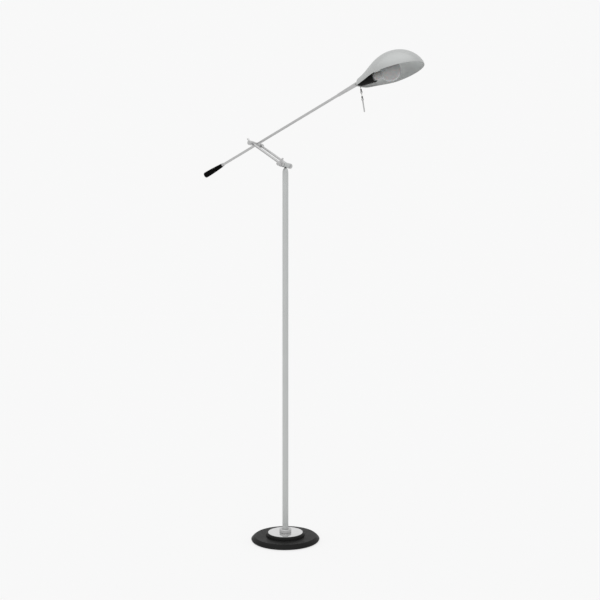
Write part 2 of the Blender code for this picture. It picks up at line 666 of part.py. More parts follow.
def build_shade(shade):
    """Half-elliptical sections over a flat rim, lofted from the neck to the tip, then given a wall."""
    shape = bmesh.new()
    columns = 18
    rows = []
    for station in shade_stations():
        width = swell(station, SHADE_NECK_HALF_WIDTH, SHADE_HALF_WIDTH, SHADE_WIDEST_AT, 1.0,
                      SHADE_END_ROUND_WIDE)
        height = swell(station, SHADE_NECK_HEIGHT, SHADE_HEIGHT, SHADE_HIGHEST_AT, SHADE_NOSE_POWER,
                       SHADE_END_ROUND_HIGH)
        lift = rim_lift(station)
        rim_z = SHADE_RIM_Z + lift
        rise = height - lift
        if width < 1e-6:
            rows.append([shape.verts.new((station, 0.0, rim_z))] * (columns + 1))
            continue
        row = []
        for i in range(columns + 1):
            angle = math.pi * i / columns
            point = (station, -math.cos(angle) * width, rim_z + math.sin(angle) * rise)
            row.append(shape.verts.new(point))
        rows.append(row)
    for first, second in zip(rows, rows[1:]):
        for i in range(columns):
            corners = []
            for vertex in (first[i], second[i], second[i + 1], first[i + 1]):
                if vertex not in corners:
                    corners.append(vertex)
            shape.faces.new(corners)
    bmesh.ops.recalc_face_normals(shape, faces=shape.faces)
    top = max(shape.faces, key=lambda face: face.calc_center_median().z)
    if top.normal.z < 0:
        bmesh.ops.reverse_faces(shape, faces=shape.faces)
    mesh = bpy.data.meshes.new("shade_shell")
    shape.to_mesh(mesh)
    shape.free()
    mesh.shade_smooth()
    made = linked("shade_shell", mesh, PALE_ENAMEL)
    made.parent = shade
    wall = made.modifiers.new("wall", "SOLIDIFY")
    wall.thickness = SHADE_WALL
    wall.offset = -1.0
    wall.use_even_offset = True
    return made


def cup_radius(station):
    """The cup's outer radius: a bell that opens quickly, then slowly, from its neck to its mouth."""
    part = (station - CUP_START) / (CUP_END - CUP_START)
    return CUP_NECK_RADIUS + (CUP_MOUTH_RADIUS - CUP_NECK_RADIUS) * part ** CUP_POWER


def build_cup(shade, neck):
    rows = 10
    stations = [CUP_START + (CUP_END - CUP_START) * (i / rows) ** 2.2 for i in range(rows + 1)]
    outside = [(cup_radius(s), s) for s in reversed(stations)]
    floor = NIPPLE_FRONT
    inside = [(cup_radius(s) - CUP_WALL, s) for s in stations if s > floor + CUP_WALL]
    hole = NIPPLE_RADIUS + GAP
    profile = [(CUP_MOUTH_RADIUS - CUP_LIP, CUP_END + CUP_LIP), *outside, (hole * 0.5, CUP_START)]
    profile += [(hole * 0.5, floor), (cup_radius(floor) - CUP_WALL, floor), *inside]
    cup = turned("socket_cup", BLACK_ENAMEL, profile, shade, rotation=ALONG_X, ring=True, steps=ROUND_FACETS)
    passage = rod("nipple_passage", None, hole, -NIPPLE_BACK, floor + CUP_BOSS, neck, rotation=ALONG_X)
    cut(cup, passage)
    return cup, passage


def build_lampholder(shade, cup):
    cup_hole = rod("spout_passage", None, SPOUT_RADIUS + GAP, -2 * SPOUT_END, -SWITCH_RADIUS, shade,
                   (CHAIN_STATION, 0, 0), UP)
    cut(cup, cup_hole)
    switch = rod("pull_switch_body", HOLDER_PLASTIC, SWITCH_RADIUS, SWITCH_START,
                 SWITCH_START + SWITCH_LENGTH, shade, rotation=ALONG_X, chamfer=SWITCH_EDGE)
    slot_radius = WIRE_RADIUS + WIRE_SLIDE
    slot = rod("wire_slot", None, slot_radius, -2 * SWITCH_RADIUS, -WIRE_TOP + SLOT_PAST_WIRE, shade,
               (CHAIN_STATION, 0, 0), UP, steps=SMALL_FACETS)
    cut(switch, slot)
    tube("chain_spout", SATIN_STEEL, SPOUT_RADIUS, slot_radius, -SPOUT_END, -SWITCH_RADIUS - GAP, shade,
         (CHAIN_STATION, 0, 0), UP, steps=SMALL_FACETS, chamfer=SPOUT_EDGE)

    shell = cup_radius(HOLDER_START) - CUP_WALL - GAP
    inner = BULB_CAP_RADIUS + GAP
    floor = HOLDER_START + HOLDER_FLOOR
    profile = [(inner + HOLDER_WALL, HOLDER_END), (inner + HOLDER_WALL, HOLDER_START + HOLDER_CHAMFER)]
    profile += [(shell - HOLDER_CHAMFER / 2, HOLDER_START), (0, HOLDER_START)]
    profile = [(0, floor), (inner, floor), (inner, HOLDER_END), *profile]
    turned("lamp_holder", HOLDER_PLASTIC, profile, shade, rotation=ALONG_X, steps=ROUND_FACETS)

    cap_end = BULB_CAP_START + BULB_CAP_LENGTH
    cap_inner = BULB_CAP_RADIUS - BULB_CAP_WALL
    cap_floor = BULB_CAP_START + BULB_CAP_TAPER
    profile = [(0, cap_floor), (cap_inner, cap_floor), (cap_inner, cap_end), (BULB_CAP_RADIUS, cap_end)]
    profile += [(BULB_CAP_RADIUS, cap_floor), (BULB_CAP_RADIUS * 0.5, BULB_CAP_START), (0, BULB_CAP_START)]
    turned("bulb_cap", PLATED_STEEL, profile, shade, rotation=ALONG_X, steps=ROUND_FACETS)
    contact_top = BULB_CAP_START - GAP
    rod("centre_contact", BRASS, CONTACT_RADIUS, floor + GAP, contact_top, shade, rotation=ALONG_X,
        steps=SMALL_FACETS)
    build_bulb(shade, cap_end, cap_inner)


def build_bulb(shade, cap_end, cap_inner):
    """A thin glass globe on a neck that is open inside the cap."""
    join = math.sqrt(BULB_RADIUS ** 2 - BULB_NECK_RADIUS ** 2)
    start = math.degrees(math.asin(join / BULB_RADIUS))
    neck_high = cap_end + GAP
    neck_low = cap_end - BULB_NECK_ENTRY
    outside = arc(0, BULB_CENTRE, BULB_RADIUS, BULB_RADIUS, 90, -start, 9)
    outside += [(BULB_NECK_RADIUS, neck_high), (cap_inner - GAP, neck_high), (cap_inner - GAP, neck_low)]
    inner = BULB_RADIUS - BULB_GLASS
    inner_neck = BULB_NECK_RADIUS - BULB_GLASS
    join = math.sqrt(inner ** 2 - inner_neck ** 2)
    start = math.degrees(math.asin(join / inner))
    bore = cap_inner - GAP - BULB_GLASS
    inside = [(bore, neck_low), (bore, neck_high + BULB_GLASS), (inner_neck, neck_high + BULB_GLASS)]
    inside += arc(0, BULB_CENTRE, inner, inner, -start, 90, 9)
    turned("bulb_globe", BULB_WHITE, outside + inside, shade, rotation=ALONG_X, steps=ROUND_FACETS)


# ---- Pull chain, on a frame whose -Z is the way that it is pulled
def build_chain(chain):
    bore = WIRE_RADIUS + GAP

    def bead(name, depth):
        half = math.degrees(math.acos(bore / BEAD_RADIUS))
        outside = arc(0, -depth, BEAD_RADIUS, BEAD_RADIUS, half, -half, 5)
        turned(name, GUNMETAL, outside, chain, ring=True, steps=SMALL_FACETS)
        return depth + BEAD_RADIUS

    def bell(name, top, length):
        profile = [(BELL_RADIUS * 0.55, -top), (BELL_RADIUS * 0.9, -top - length * 0.25)]
        profile += [(BELL_RADIUS, -top - length * 0.5), (BELL_RADIUS * 0.85, -top - length * 0.8)]
        profile += [(BELL_RADIUS * 0.5, -top - length), (bore, -top - length), (bore, -top)]
        turned(name, SATIN_STEEL, profile, chain, ring=True, steps=SMALL_FACETS)
        return top + length

    low = bead("upper_bead", UPPER_BEAD_DEPTH)
    bell("upper_bell", low + GAP, UPPER_BELL_LENGTH)
    low = bead("lower_bead", LOWER_BEAD_DEPTH)
    low = bell("lower_bell", low + GAP, LOWER_BELL_LENGTH)
    top = low + GAP
    wire_end = top + WIRE_ENTRY
    rod("pull_wire", PLATED_STEEL, WIRE_RADIUS, -wire_end, -WIRE_TOP, chain, steps=SMALL_FACETS)
    bottom = top + PULL_LENGTH
    profile = [(0, -wire_end - GAP), (bore, -wire_end - GAP), (bore, -top), (PULL_RADIUS, -top)]
    profile += arc(0, -bottom + PULL_RADIUS, PULL_RADIUS, PULL_RADIUS, 0, -90, 4)
    turned("pull_rod", SATIN_STEEL, profile, chain, steps=SMALL_FACETS)


def build_lamp():
    build_base()
    build_pole()
    swivel = axis_empty("swivel_axis", None, (0, 0, LOWER_AXIS_Z))
    build_swivel(swivel)
    link = axis_empty("link_axis", None, (0, 0, LOWER_AXIS_Z), LINK_ELEVATION - 180.0)
    build_link(link)
    lower_lock = axis_empty("lower_lock_axis", None, (0, 0, LOWER_AXIS_Z))
    build_knob("lower", lower_lock, LOWER_KNOB_RADIUS, LOWER_TOMMY_INSET, LOWER_TOMMY_REACH,
               LOWER_TOMMY_ANGLE)
    rise = math.radians(LINK_ELEVATION)
    upper = (-LINK_LENGTH * math.cos(rise), 0, LOWER_AXIS_Z + LINK_LENGTH * math.sin(rise))
    upper_lock = axis_empty("upper_lock_axis", None, upper)
    build_knob("upper", upper_lock, UPPER_KNOB_RADIUS, UPPER_TOMMY_INSET, UPPER_TOMMY_REACH,
               UPPER_TOMMY_ANGLE)
    boom = axis_empty("boom_axis", None, upper, -ARM_ELEVATION)
    build_boom(boom)
    neck = axis_empty("shade_axis", boom, (NECK_STATION, 0, 0))
    build_neck(neck)
    shade = axis_empty("shade_frame", neck, (0, 0, 0), SHADE_DROP)
    shell = build_shade(shade)
    cup, passage = build_cup(shade, neck)
    cut(shell, passage)
    build_lampholder(shade, cup)
    chain = axis_empty("chain_axis", shade, (CHAIN_STATION, 0, 0))
    build_chain(chain)
    for made in list(LAMP.objects):
        if made.type == "MESH":
            made.data.shade_smooth()
            made.data.set_sharp_from_angle(angle=math.radians(SMOOTH_ANGLE))


build_lamp()
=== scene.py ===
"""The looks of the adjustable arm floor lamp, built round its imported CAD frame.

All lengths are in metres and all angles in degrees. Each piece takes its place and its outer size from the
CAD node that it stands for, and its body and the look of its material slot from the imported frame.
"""

import json
import math

import bmesh
import bpy
from mathutils import Matrix, Vector

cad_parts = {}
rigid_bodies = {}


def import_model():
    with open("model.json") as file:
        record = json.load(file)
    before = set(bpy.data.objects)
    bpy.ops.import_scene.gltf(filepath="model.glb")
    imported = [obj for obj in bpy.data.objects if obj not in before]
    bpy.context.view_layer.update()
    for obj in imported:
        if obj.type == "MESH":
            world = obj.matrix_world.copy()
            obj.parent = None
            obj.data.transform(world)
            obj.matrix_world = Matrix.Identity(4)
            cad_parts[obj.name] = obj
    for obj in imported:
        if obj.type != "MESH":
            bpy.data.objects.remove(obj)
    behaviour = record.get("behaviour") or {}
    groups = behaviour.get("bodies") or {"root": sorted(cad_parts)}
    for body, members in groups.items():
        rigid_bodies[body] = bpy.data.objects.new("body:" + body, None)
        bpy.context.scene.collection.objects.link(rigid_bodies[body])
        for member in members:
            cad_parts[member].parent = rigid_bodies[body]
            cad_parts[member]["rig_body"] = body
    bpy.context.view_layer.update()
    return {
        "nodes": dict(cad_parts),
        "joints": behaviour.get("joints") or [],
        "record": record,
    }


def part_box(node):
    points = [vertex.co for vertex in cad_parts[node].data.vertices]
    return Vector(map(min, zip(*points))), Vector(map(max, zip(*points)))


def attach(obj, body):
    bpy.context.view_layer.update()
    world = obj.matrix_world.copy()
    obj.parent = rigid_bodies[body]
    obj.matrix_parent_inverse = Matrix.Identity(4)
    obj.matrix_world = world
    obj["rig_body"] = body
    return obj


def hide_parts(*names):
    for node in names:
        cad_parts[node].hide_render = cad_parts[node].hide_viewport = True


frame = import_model()

NODES = frame["nodes"]
JOINTS = {joint["name"]: joint for joint in frame["joints"]}
SLOT_OF = {part["node"]: part["material_slot"] for part in frame["record"]["subparts"]}
BODY_OF = {node: made["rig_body"] for node, made in NODES.items()}
SIDES = ("near", "far")

# ---- Directions and points that the joints give
UP = Vector((0, 0, 1))
FORWARD = Vector((1, 0, 0))
BARREL = Vector(JOINTS["link_tilt"]["axis"])
ARM = Vector(JOINTS["shade_swivel"]["axis"])
PULL = Vector(JOINTS["pull_switch"]["axis"])
SHADE_WAY = BARREL.cross(-PULL)
LOWER = Vector(JOINTS["link_tilt"]["pos_m"])
UPPER = Vector(JOINTS["arm_tilt"]["pos_m"])
NECK = Vector(JOINTS["shade_swivel"]["pos_m"])
LINK_WAY = (UPPER - LOWER).normalized()

# ---- Fits and edges that many pieces share
SEAT_CLEARANCE = 0.0003
EDGE = 0.0006
HEEL_EDGE = 0.0004
CUTTER_REACH = 0.02

# ---- Base
FELT_EDGE_SHARE = 0.4
SHOULDER_WIDTH = 0.0125
SHOULDER_BOW = 0.0010
CREASE_EASE = 0.0006
BELLY_HEIGHT = 0.0075
FOOT_INSET = 0.0030
FOOT_EDGE = 0.0012
RECESS_RADIUS = 0.0300
RECESS_EDGE = 0.0010
GROMMET_EDGE = 0.0008
GROMMET_HOLE_RADIUS = 0.0023
STEP_FLANK_WIDTH = 0.0060
STEP_FOOT_HEIGHT = 0.0010
PLATE_EDGE = 0.0003

# ---- Pole and swivel
TUBE_EDGE = 0.0003
COLLAR_EDGE = 0.0032
CAP_TOP_LAND = 0.0015
CAP_TOP_ANGLE = 88.0
CAP_BORE_EDGE = 0.0004
HUB_EDGE = EDGE * 1.6

# ---- Pivot barrels
WASHER_EDGE = EDGE / 3
LOWER_EYE_EDGE = EDGE * 2
UPPER_EYE_EDGE = EDGE * 1.6
GROOVE_WIDTH = 0.0009
GROOVE_DEPTH = 0.0004
GROOVE_SLOPE_SHARE = 0.3
KNURL_COUNT = 36
KNURL_TURNS = 2
KNURL_DEPTH = 0.00022
KNOB_EDGE = 0.0013
KNURL_FROM_BAR = 0.0042
KNURL_FROM_END = 0.0024
SCREW_SLOT = 0.0011
SCREW_SLOT_DEPTH = 0.0009
SCREW_SLOT_EDGE = 0.0002

# ---- Shade: the same outline as the CAD shell
SHADE_LENGTH = 0.2560
SHADE_WALL = 0.0010
SHADE_NECK_HALF_WIDTH = 0.0297
SHADE_HALF_WIDTH = 0.0760
SHADE_WIDEST_AT = 0.1280
SHADE_NECK_HEIGHT = 0.0295
SHADE_HEIGHT = 0.0755
SHADE_HIGHEST_AT = 0.1500
SHADE_RIM_Z = -0.0143
SHADE_NOSE_POWER = 1.32
SHADE_END_ROUND_WIDE = 0.0368
SHADE_END_ROUND_HIGH = 0.0133
SHADE_NECK_LIFT = 0.0068
SHADE_LIFT_LENGTH = 0.0300
SHADE_COLUMNS = 96
SHADE_NECK_ROWS = 26
SHADE_ROWS = 72

# ---- Boom, grip and neck
BLOCK_EDGE = EDGE * 1.5
TRUNNION_STANDOFF = 0.0033
GRIP_NECK_RADIUS = 0.0072
GRIP_SHOULDER = 0.0020
GRIP_ROUND_END = 0.0060
RING_NOSE_EDGE = 0.0012
CONE_START_RADIUS = 0.0056
CONE_NOSE_EDGE = 0.0010
NIPPLE_PITCH = 0.0009

# ---- Lampholder, bulb and chain
CUP_WALL = 0.0010
CUP_NECK_RADIUS = 0.0072
CUP_POWER = 0.36
CUP_LIP = 0.0007
CUP_CROWDING = 1.8
HOLDER_CHAMFER = 0.0016
HOLDER_CHAMFER_HEIGHT = 0.0024
HOLDER_MOUTH_EDGE = 0.0002
CAP_WALL = 0.0006
CAP_TAPER = 0.0030
THREAD_PITCH = 0.0036
THREAD_DEPTH = 0.0007
BULB_GLASS = 0.0010
BULB_NECK_RADIUS = 0.0135
BULB_THROAT_EASE = 0.0060
BELL_END_SHARE = 0.50
BELL_POWER = 0.7
PULL_GROOVE_DROP = 0.0022

# ---- Room and camera
ROOM_LEVEL = 0.94
FLOOR_RADIUS = 40.0
FLOOR_SHARE = 0.15
SUN_POWER = 0.9
SUN_HEIGHT = 62.0
SUN_SPREAD = 70.0
SUN_ASIDE = -25.0
CAMERA_TURN = 35.0
CAMERA_ASIDE = 0.0544
CAMERA_DISTANCE = 2.885
CAMERA_HEIGHT = 0.895
CAMERA_LENS = 46.44
CAMERA_SENSOR = 36.0

# ---- Smoothness
SEGMENTS = 72
BASE_SEGMENTS = 180
SMALL_SEGMENTS = 40
FLOOR_SEGMENTS = 64
KNURL_FACETS = 6
KNURL_ROWS = 20
SHOULDER_STEPS = 28
FLANK_STEPS = 20
CAP_STEPS = 24
HEAD_STEPS = 12
TIP_STEPS = 10
GRIP_ROWS = 40
GRIP_END_STEPS = 16
CUP_ROWS = 40
THREAD_STEPS = 10
BULB_STEPS = 60
THROAT_STEPS = 12
BEAD_STEPS = 20
BELL_ROWS = 24
SMOOTH_ANGLE = 32.0

# ---- Distances within which two points count as one place
TINY = 1e-7
CLOSE = 1e-6
NEARBY = 1e-5


# ---- Frames and sizes read from the CAD nodes
def axis_at(point, along, across):
    """A frame at a point: +Z along one direction and +X close to another."""
    z = Vector(along).normalized()
    x = (Vector(across) - z * z.dot(Vector(across))).normalized()
    made = Matrix((x, z.cross(x), z)).transposed().to_4x4()
    made.translation = point
    return made


def centre(node):
    low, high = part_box(node)
    return (low + high) / 2


def seen_from(axis, node):
    """The vertices of a CAD node in an axis's own frame."""
    inverse = axis.inverted()
    return [inverse @ vertex.co for vertex in NODES[node].data.vertices]


def reach(node, axis):
    """(radius, lowest, highest) of a CAD node about an axis."""
    points = seen_from(axis, node)
    radius = max(math.hypot(point.x, point.y) for point in points)
    heights = [point.z for point in points]
    return radius, min(heights), max(heights)


def bore(node, axis):
    """The radius of the hole through a turned CAD node."""
    return min(math.hypot(point.x, point.y) for point in seen_from(axis, node))


def bore_at_end(node, axis):
    """The radius of the hole that opens in a turned CAD node's far end."""
    points = seen_from(axis, node)
    top = max(point.z for point in points)
    return min(math.hypot(point.x, point.y) for point in points if point.z > top - CLOSE)


def shank_radius(node, axis):
    """The radius of a shaft's near end, away from its head."""
    points = seen_from(axis, node)
    near = min(point.z for point in points) + EDGE
    return max(math.hypot(point.x, point.y) for point in points if point.z < near)


def far_end(node, point):
    """The middle of a straight CAD node's end furthest from a point."""
    points = [vertex.co for vertex in NODES[node].data.vertices]
    furthest = max((other - point).length for other in points)
    ends = [other for other in points if (other - point).length > furthest - NEARBY]
    return sum(ends, Vector()) / len(ends)


POLE_AXIS = axis_at((0, 0, 0), UP, FORWARD)
LOWER_AXIS = axis_at(LOWER, BARREL, FORWARD)
UPPER_AXIS = axis_at(UPPER, BARREL, FORWARD)
BOOM_AXIS = axis_at(UPPER, ARM, BARREL)
NECK_AXIS = axis_at(NECK, ARM, BARREL)
SHADE_AXIS = axis_at(NECK, SHADE_WAY, BARREL)
CHAIN_AXIS = axis_at(centre("pull_wire"), -PULL, SHADE_WAY)


# ---- Shader helpers
def add(tree, kind, inputs=None, **settings):
    """A shader node. An input given as a socket is linked, and any other is set."""
    made = tree.nodes.new(kind)
    for name, value in settings.items():
        setattr(made, name, value)
    for name, value in (inputs or {}).items():
        if isinstance(value, bpy.types.NodeSocket):
            tree.links.new(value, made.inputs[name])
        else:
            made.inputs[name].default_value = value
    return made


def noise(tree, stretch, detail=3.0, roughness=0.5):
    """Noise of about this many grains a metre along each axis of the piece's own frame."""
    place = add(tree, "ShaderNodeTexCoord").outputs["Object"]
    mapped = add(tree, "ShaderNodeMapping", {"Vector": place, "Scale": stretch}).outputs["Vector"]
    inputs = {"Vector": mapped, "Scale": 1.0, "Detail": detail, "Roughness": roughness}
    return add(tree, "ShaderNodeTexNoise", inputs).outputs["Fac"]


def spread(tree, value, low, high, start=0.3, stop=0.7):
    """A number between two limits as the noise goes from one level to another."""
    inputs = {"Value": value, "From Min": start, "From Max": stop, "To Min": low, "To Max": high}
    return add(tree, "ShaderNodeMapRange", inputs).outputs["Result"]


def tones(tree, value, dark, pale, start=0.3, stop=0.7):
    """A colour between two as the noise goes from one level to another."""
    ramp = add(tree, "ShaderNodeValToRGB", {"Fac": value})
    ramp.color_ramp.elements[0].position = start
    ramp.color_ramp.elements[0].color = (*dark, 1.0)
    ramp.color_ramp.elements[1].position = stop
    ramp.color_ramp.elements[1].color = (*pale, 1.0)
    return ramp.outputs["Color"]


def multiplied(tree, first, second):
    inputs = {"Vector": first, "Vector_001": second}
    return add(tree, "ShaderNodeVectorMath", inputs, operation="MULTIPLY").outputs["Vector"]


def relief(tree, height, depth, strength=1.0, under=None):
    inputs = {"Height": height, "Distance": depth, "Strength": strength}
    if under is not None:
        inputs["Normal"] = under
    return add(tree, "ShaderNodeBump", inputs).outputs["Normal"]


def shader(name, constants):
    """A new material, its node tree and its Principled shader with the constants set."""
    made = bpy.data.materials.new(name)
    made.use_nodes = True
    principled = made.node_tree.nodes["Principled BSDF"]
    for socket, value in constants.items():
        principled.inputs[socket].default_value = value
    return made, made.node_tree, principled


def wire(tree, principled, **sockets):
    names = {"colour": "Base Color", "roughness": "Roughness", "normal": "Normal"}
    for name, value in sockets.items():
        tree.links.new(value, principled.inputs[names[name]])


# ---- Materials
def grey(level, tint=(1.0, 1.0, 1.0)):
    return tuple(level * part for part in tint)


ENAMEL_TINT = (0.985, 1.010, 1.000)
FINE = 2600.0
PEEL = 420.0


def pale_enamel(name, level, metallic, roughness):
    """Metallic paint: fine flake in a faintly uneven coat with a soft orange peel."""
    constants = {"Metallic": metallic, "Coat Weight": 0.12, "Coat Roughness": 0.30}
    made, tree, principled = shader(name, constants)
    flake = noise(tree, (FINE,) * 3, detail=2.0, roughness=0.7)
    cloud = noise(tree, (14.0, 14.0, 9.0))
    paint = tones(tree, flake, grey(level * 0.95, ENAMEL_TINT), grey(level * 1.05, ENAMEL_TINT))
    drift = tones(tree, cloud, grey(0.96), grey(1.0))
    peel = noise(tree, (PEEL,) * 3, detail=2.0)
    normal = relief(tree, peel, depth=0.00003, strength=0.6)
    normal = relief(tree, flake, depth=0.000006, strength=0.4, under=normal)
    wire(tree, principled, colour=multiplied(tree, paint, drift),
         roughness=spread(tree, cloud, roughness - 0.04, roughness + 0.05), normal=normal)
    return made


def steel(name, level, grain, roughness):
    """Satin steel: scratches drawn out along the grain, over a faint unevenness of the polish."""
    made, tree, principled = shader(name, {"Metallic": 1.0, "Anisotropic": 0.35})
    scratches = noise(tree, grain, detail=4.0, roughness=0.65)
    cloud = noise(tree, (60.0,) * 3)
    lines = tones(tree, scratches, grey(level * 0.94), grey(level * 1.04), start=0.32, stop=0.68)
    drift = tones(tree, cloud, grey(0.97), grey(1.0))
    wire(tree, principled, colour=multiplied(tree, lines, drift),
         roughness=spread(tree, scratches, roughness - 0.03, roughness + 0.04),
         normal=relief(tree, scratches, depth=0.000003, strength=0.4))
    return made


def metal(name, dark, pale, roughness):
    """Plated or blackened metal with faint stains and pits."""
    made, tree, principled = shader(name, {"Metallic": 1.0})
    stain = noise(tree, (180.0,) * 3, detail=4.0)
    pits = noise(tree, (FINE,) * 3, detail=2.0)
    wire(tree, principled, colour=tones(tree, stain, dark, pale),
         roughness=spread(tree, stain, roughness - 0.06, roughness + 0.08),
         normal=relief(tree, pits, depth=0.00001, strength=0.4))
    return made


def black_enamel(name):
    """Baked enamel on cast iron: a fine hammered skin with a few pale specks of dust."""
    made, tree, principled = shader(name, {"Specular IOR Level": 0.055})
    skin = noise(tree, (900.0,) * 3, roughness=0.6)
    cloud = noise(tree, (25.0,) * 3, detail=4.0)
    specks = noise(tree, (1500.0,) * 3, detail=0.0)
    coat = tones(tree, cloud, grey(0.0085), grey(0.0115))
    dust = tones(tree, specks, grey(1.0), grey(2.4), start=0.70, stop=0.80)
    waves = noise(tree, (60.0,) * 3, detail=2.0)
    normal = relief(tree, waves, depth=0.0002, strength=0.25)
    wire(tree, principled, colour=multiplied(tree, coat, dust),
         roughness=spread(tree, cloud, 0.36, 0.46),
         normal=relief(tree, skin, depth=0.00003, strength=0.5, under=normal))
    return made


def moulded(name, dark, pale, roughness, grain, depth, constants=None):
    """Moulded plastic or rubber: an even colour with a fine grain in its skin."""
    made, tree, principled = shader(name, constants or {})
    skin = noise(tree, (grain,) * 3, roughness=0.6)
    cloud = noise(tree, (70.0,) * 3)
    wire(tree, principled, colour=tones(tree, cloud, dark, pale),
         roughness=spread(tree, cloud, roughness - 0.05, roughness + 0.06),
         normal=relief(tree, skin, depth, strength=0.6))
    return made


def felt(name):
    """Pressed wool: matted fibres that lie every way."""
    made, tree, principled = shader(name, {"Sheen Weight": 0.4, "Sheen Roughness": 0.6})
    across = noise(tree, (3200.0, 260.0, 900.0))
    along = noise(tree, (260.0, 3200.0, 900.0))
    fibres = add(tree, "ShaderNodeMath", {0: across, 1: along}, operation="MAXIMUM").outputs["Value"]
    wire(tree, principled, colour=tones(tree, fibres, grey(0.010), grey(0.045), start=0.40, stop=0.75),
         roughness=spread(tree, fibres, 0.90, 1.00),
         normal=relief(tree, fibres, depth=0.0003, strength=0.9))
    return made


def opal_glass(name):
    """The bulb's white coating under its glass, given a dim grey that is painted shade from the shell over
    it: a soft gloss and a faintly uneven dusting inside.
    """
    constants = {"Coat Weight": 0.4, "Coat Roughness": 0.05, "Subsurface Weight": 0.15,
                 "Subsurface Scale": 0.004}
    made, tree, principled = shader(name, constants)
    dusting = noise(tree, (90.0,) * 3, detail=4.0)
    # The dim grey stands for painted shade on a white coating; the dusting only varies it a little.
    wire(tree, principled, colour=tones(tree, dusting, grey(0.30), grey(0.33)),
         roughness=spread(tree, dusting, 0.28, 0.38),
         normal=relief(tree, noise(tree, (700.0,) * 3, detail=2.0), depth=0.00002, strength=0.3))
    return made


DRAWN = (3200.0, 3200.0, 22.0)
TURNED = (22.0, 22.0, 3600.0)

LOOKS = {
    "pale_enamel": pale_enamel("pale_enamel", 0.475, 0.35, 0.42),
    # The shell's outside is a darker copy of the pole's pale enamel, painted shade that tones down how
    # brightly the dome is lit. Its inside is a lighter, more metallic copy.
    "shade_outside": pale_enamel("shade_outside", 0.42, 0.35, 0.42),
    "shade_inside": pale_enamel("shade_inside", 0.66, 0.42, 0.40),
    "polished_steel": steel("polished_steel", 0.65, TURNED, 0.13),
    "satin_steel": steel("satin_steel", 0.50, DRAWN, 0.36),
    "turned_steel": steel("turned_steel", 0.50, TURNED, 0.38),
    "rod_steel": steel("rod_steel", 0.47, DRAWN, 0.50),
    "black_enamel": black_enamel("black_enamel"),
    "black_grip": moulded("black_grip", grey(0.0025), grey(0.0045), 0.45, 1400.0, 0.00004,
                          {"Specular IOR Level": 0.01}),
    "gunmetal": metal("gunmetal", grey(0.030), grey(0.060), 0.36),
    "plated_steel": metal("plated_steel", (0.42, 0.42, 0.40), (0.58, 0.58, 0.55), 0.34),
    "brass": metal("brass", (0.48, 0.34, 0.13), (0.66, 0.50, 0.22), 0.34),
    "felt": felt("felt"),
    "rubber": moulded("rubber", grey(0.010), grey(0.018), 0.72, 1800.0, 0.00005),
    "nylon": moulded("nylon", grey(0.014), grey(0.022), 0.46, 1200.0, 0.00002),
    "holder_plastic": moulded("holder_plastic", grey(0.016), grey(0.024), 0.40, 1500.0, 0.00002),
    # The bulb's look is a white coating painted dim grey: painted shade from the shell over it.
    "bulb_white": opal_glass("bulb_white"),
}


def dress_cad_nodes():
    """Each CAD node gets its slot's look, for the pieces inside the base and pole that stay as they are."""
    for name, node in NODES.items():
        node.data.materials.clear()
        node.data.materials.append(LOOKS[SLOT_OF[name]])


# ---- Mesh helpers
def smoothed(made):
    made.data.shade_smooth()
    made.data.set_sharp_from_angle(angle=math.radians(SMOOTH_ANGLE))
    return made


def linked(name, shape, axis):
    """The object of a finished bmesh, in its own frame."""
    bmesh.ops.recalc_face_normals(shape, faces=shape.faces)
    mesh = bpy.data.meshes.new(name)
    shape.to_mesh(mesh)
    shape.free()
    made = bpy.data.objects.new(name, mesh)
    bpy.context.scene.collection.objects.link(made)
    made.matrix_world = axis
    return made


def stands_for(made, *nodes, look=None):
    """Gives the piece the body of the CAD nodes it replaces and their slot's look or another, and hides
    those nodes.
    """
    slot = SLOT_OF[nodes[0]]
    made.data.materials.append(LOOKS[look or slot])
    smoothed(made)
    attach(made, BODY_OF[nodes[0]])
    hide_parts(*nodes)
    return made


def eased(corners, steps=6):
    """An outline with each (radius, height, ease) corner rounded off, starting that far from it."""
    points = []
    for i, (radius, height, ease) in enumerate(corners):
        here = Vector((radius, height))
        if ease == 0.0:
            points.append(here)
            continue
        before = here + (Vector(corners[i - 1][:2]) - here).normalized() * ease
        after = here + (Vector(corners[(i + 1) % len(corners)][:2]) - here).normalized() * ease
        for step in range(steps + 1):
            part = step / steps
            points.append(before * (1 - part) ** 2 + here * 2 * part * (1 - part) + after * part ** 2)
    return [tuple(point) for point in points]


def arc(middle, across, along, start, end, count):
    """Points on an elliptical arc of an outline, as (radius, height), from one angle to another."""
    found = []
    for i in range(count + 1):
        angle = math.radians(start + (end - start) * i / count)
        found.append((middle[0] + across * math.cos(angle), middle[1] + along * math.sin(angle)))
    return found


def bowed(start, end, bow, count):
    """Points of an outline from one to another, bowed outwards in between."""
    across = end[0] - start[0]
    along = end[1] - start[1]
    length = math.hypot(across, along)
    found = []
    for i in range(count + 1):
        part = i / count
        out = bow * math.sin(math.pi * part) / length
        found.append((start[0] + across * part - along * out, start[1] + along * part + across * out))
    return found


def lathe(name, axis, outline, ring=False, segments=SEGMENTS, swell=None):
    """A turned mesh. The outline starts and ends on the axis, or is a closed ring round a bore."""
    shape = bmesh.new()
    rows = []
    for radius, height in outline:
        if radius < TINY:
            rows.append([shape.verts.new((0, 0, height))] * segments)
            continue
        row = []
        for i in range(segments):
            angle = 2 * math.pi * i / segments
            out = radius if swell is None else swell(angle, radius, height)
            row.append(shape.verts.new((out * math.cos(angle), out * math.sin(angle), height)))
        rows.append(row)
    pairs = list(zip(rows, rows[1:]))
    if ring:
        pairs.append((rows[-1], rows[0]))
    for first, second in pairs:
        for i in range(segments):
            after = (i + 1) % segments
            corners = list(dict.fromkeys((first[i], second[i], second[after], first[after])))
            shape.faces.new(corners)
    return linked(name, shape, axis)


def applied(made):
    """The object with its modifiers applied to its mesh."""
    bpy.context.view_layer.update()
    graph = bpy.context.evaluated_depsgraph_get()
    old = made.data
    made.data = bpy.data.meshes.new_from_object(made.evaluated_get(graph))
    made.modifiers.clear()
    bpy.data.meshes.remove(old)
    return made


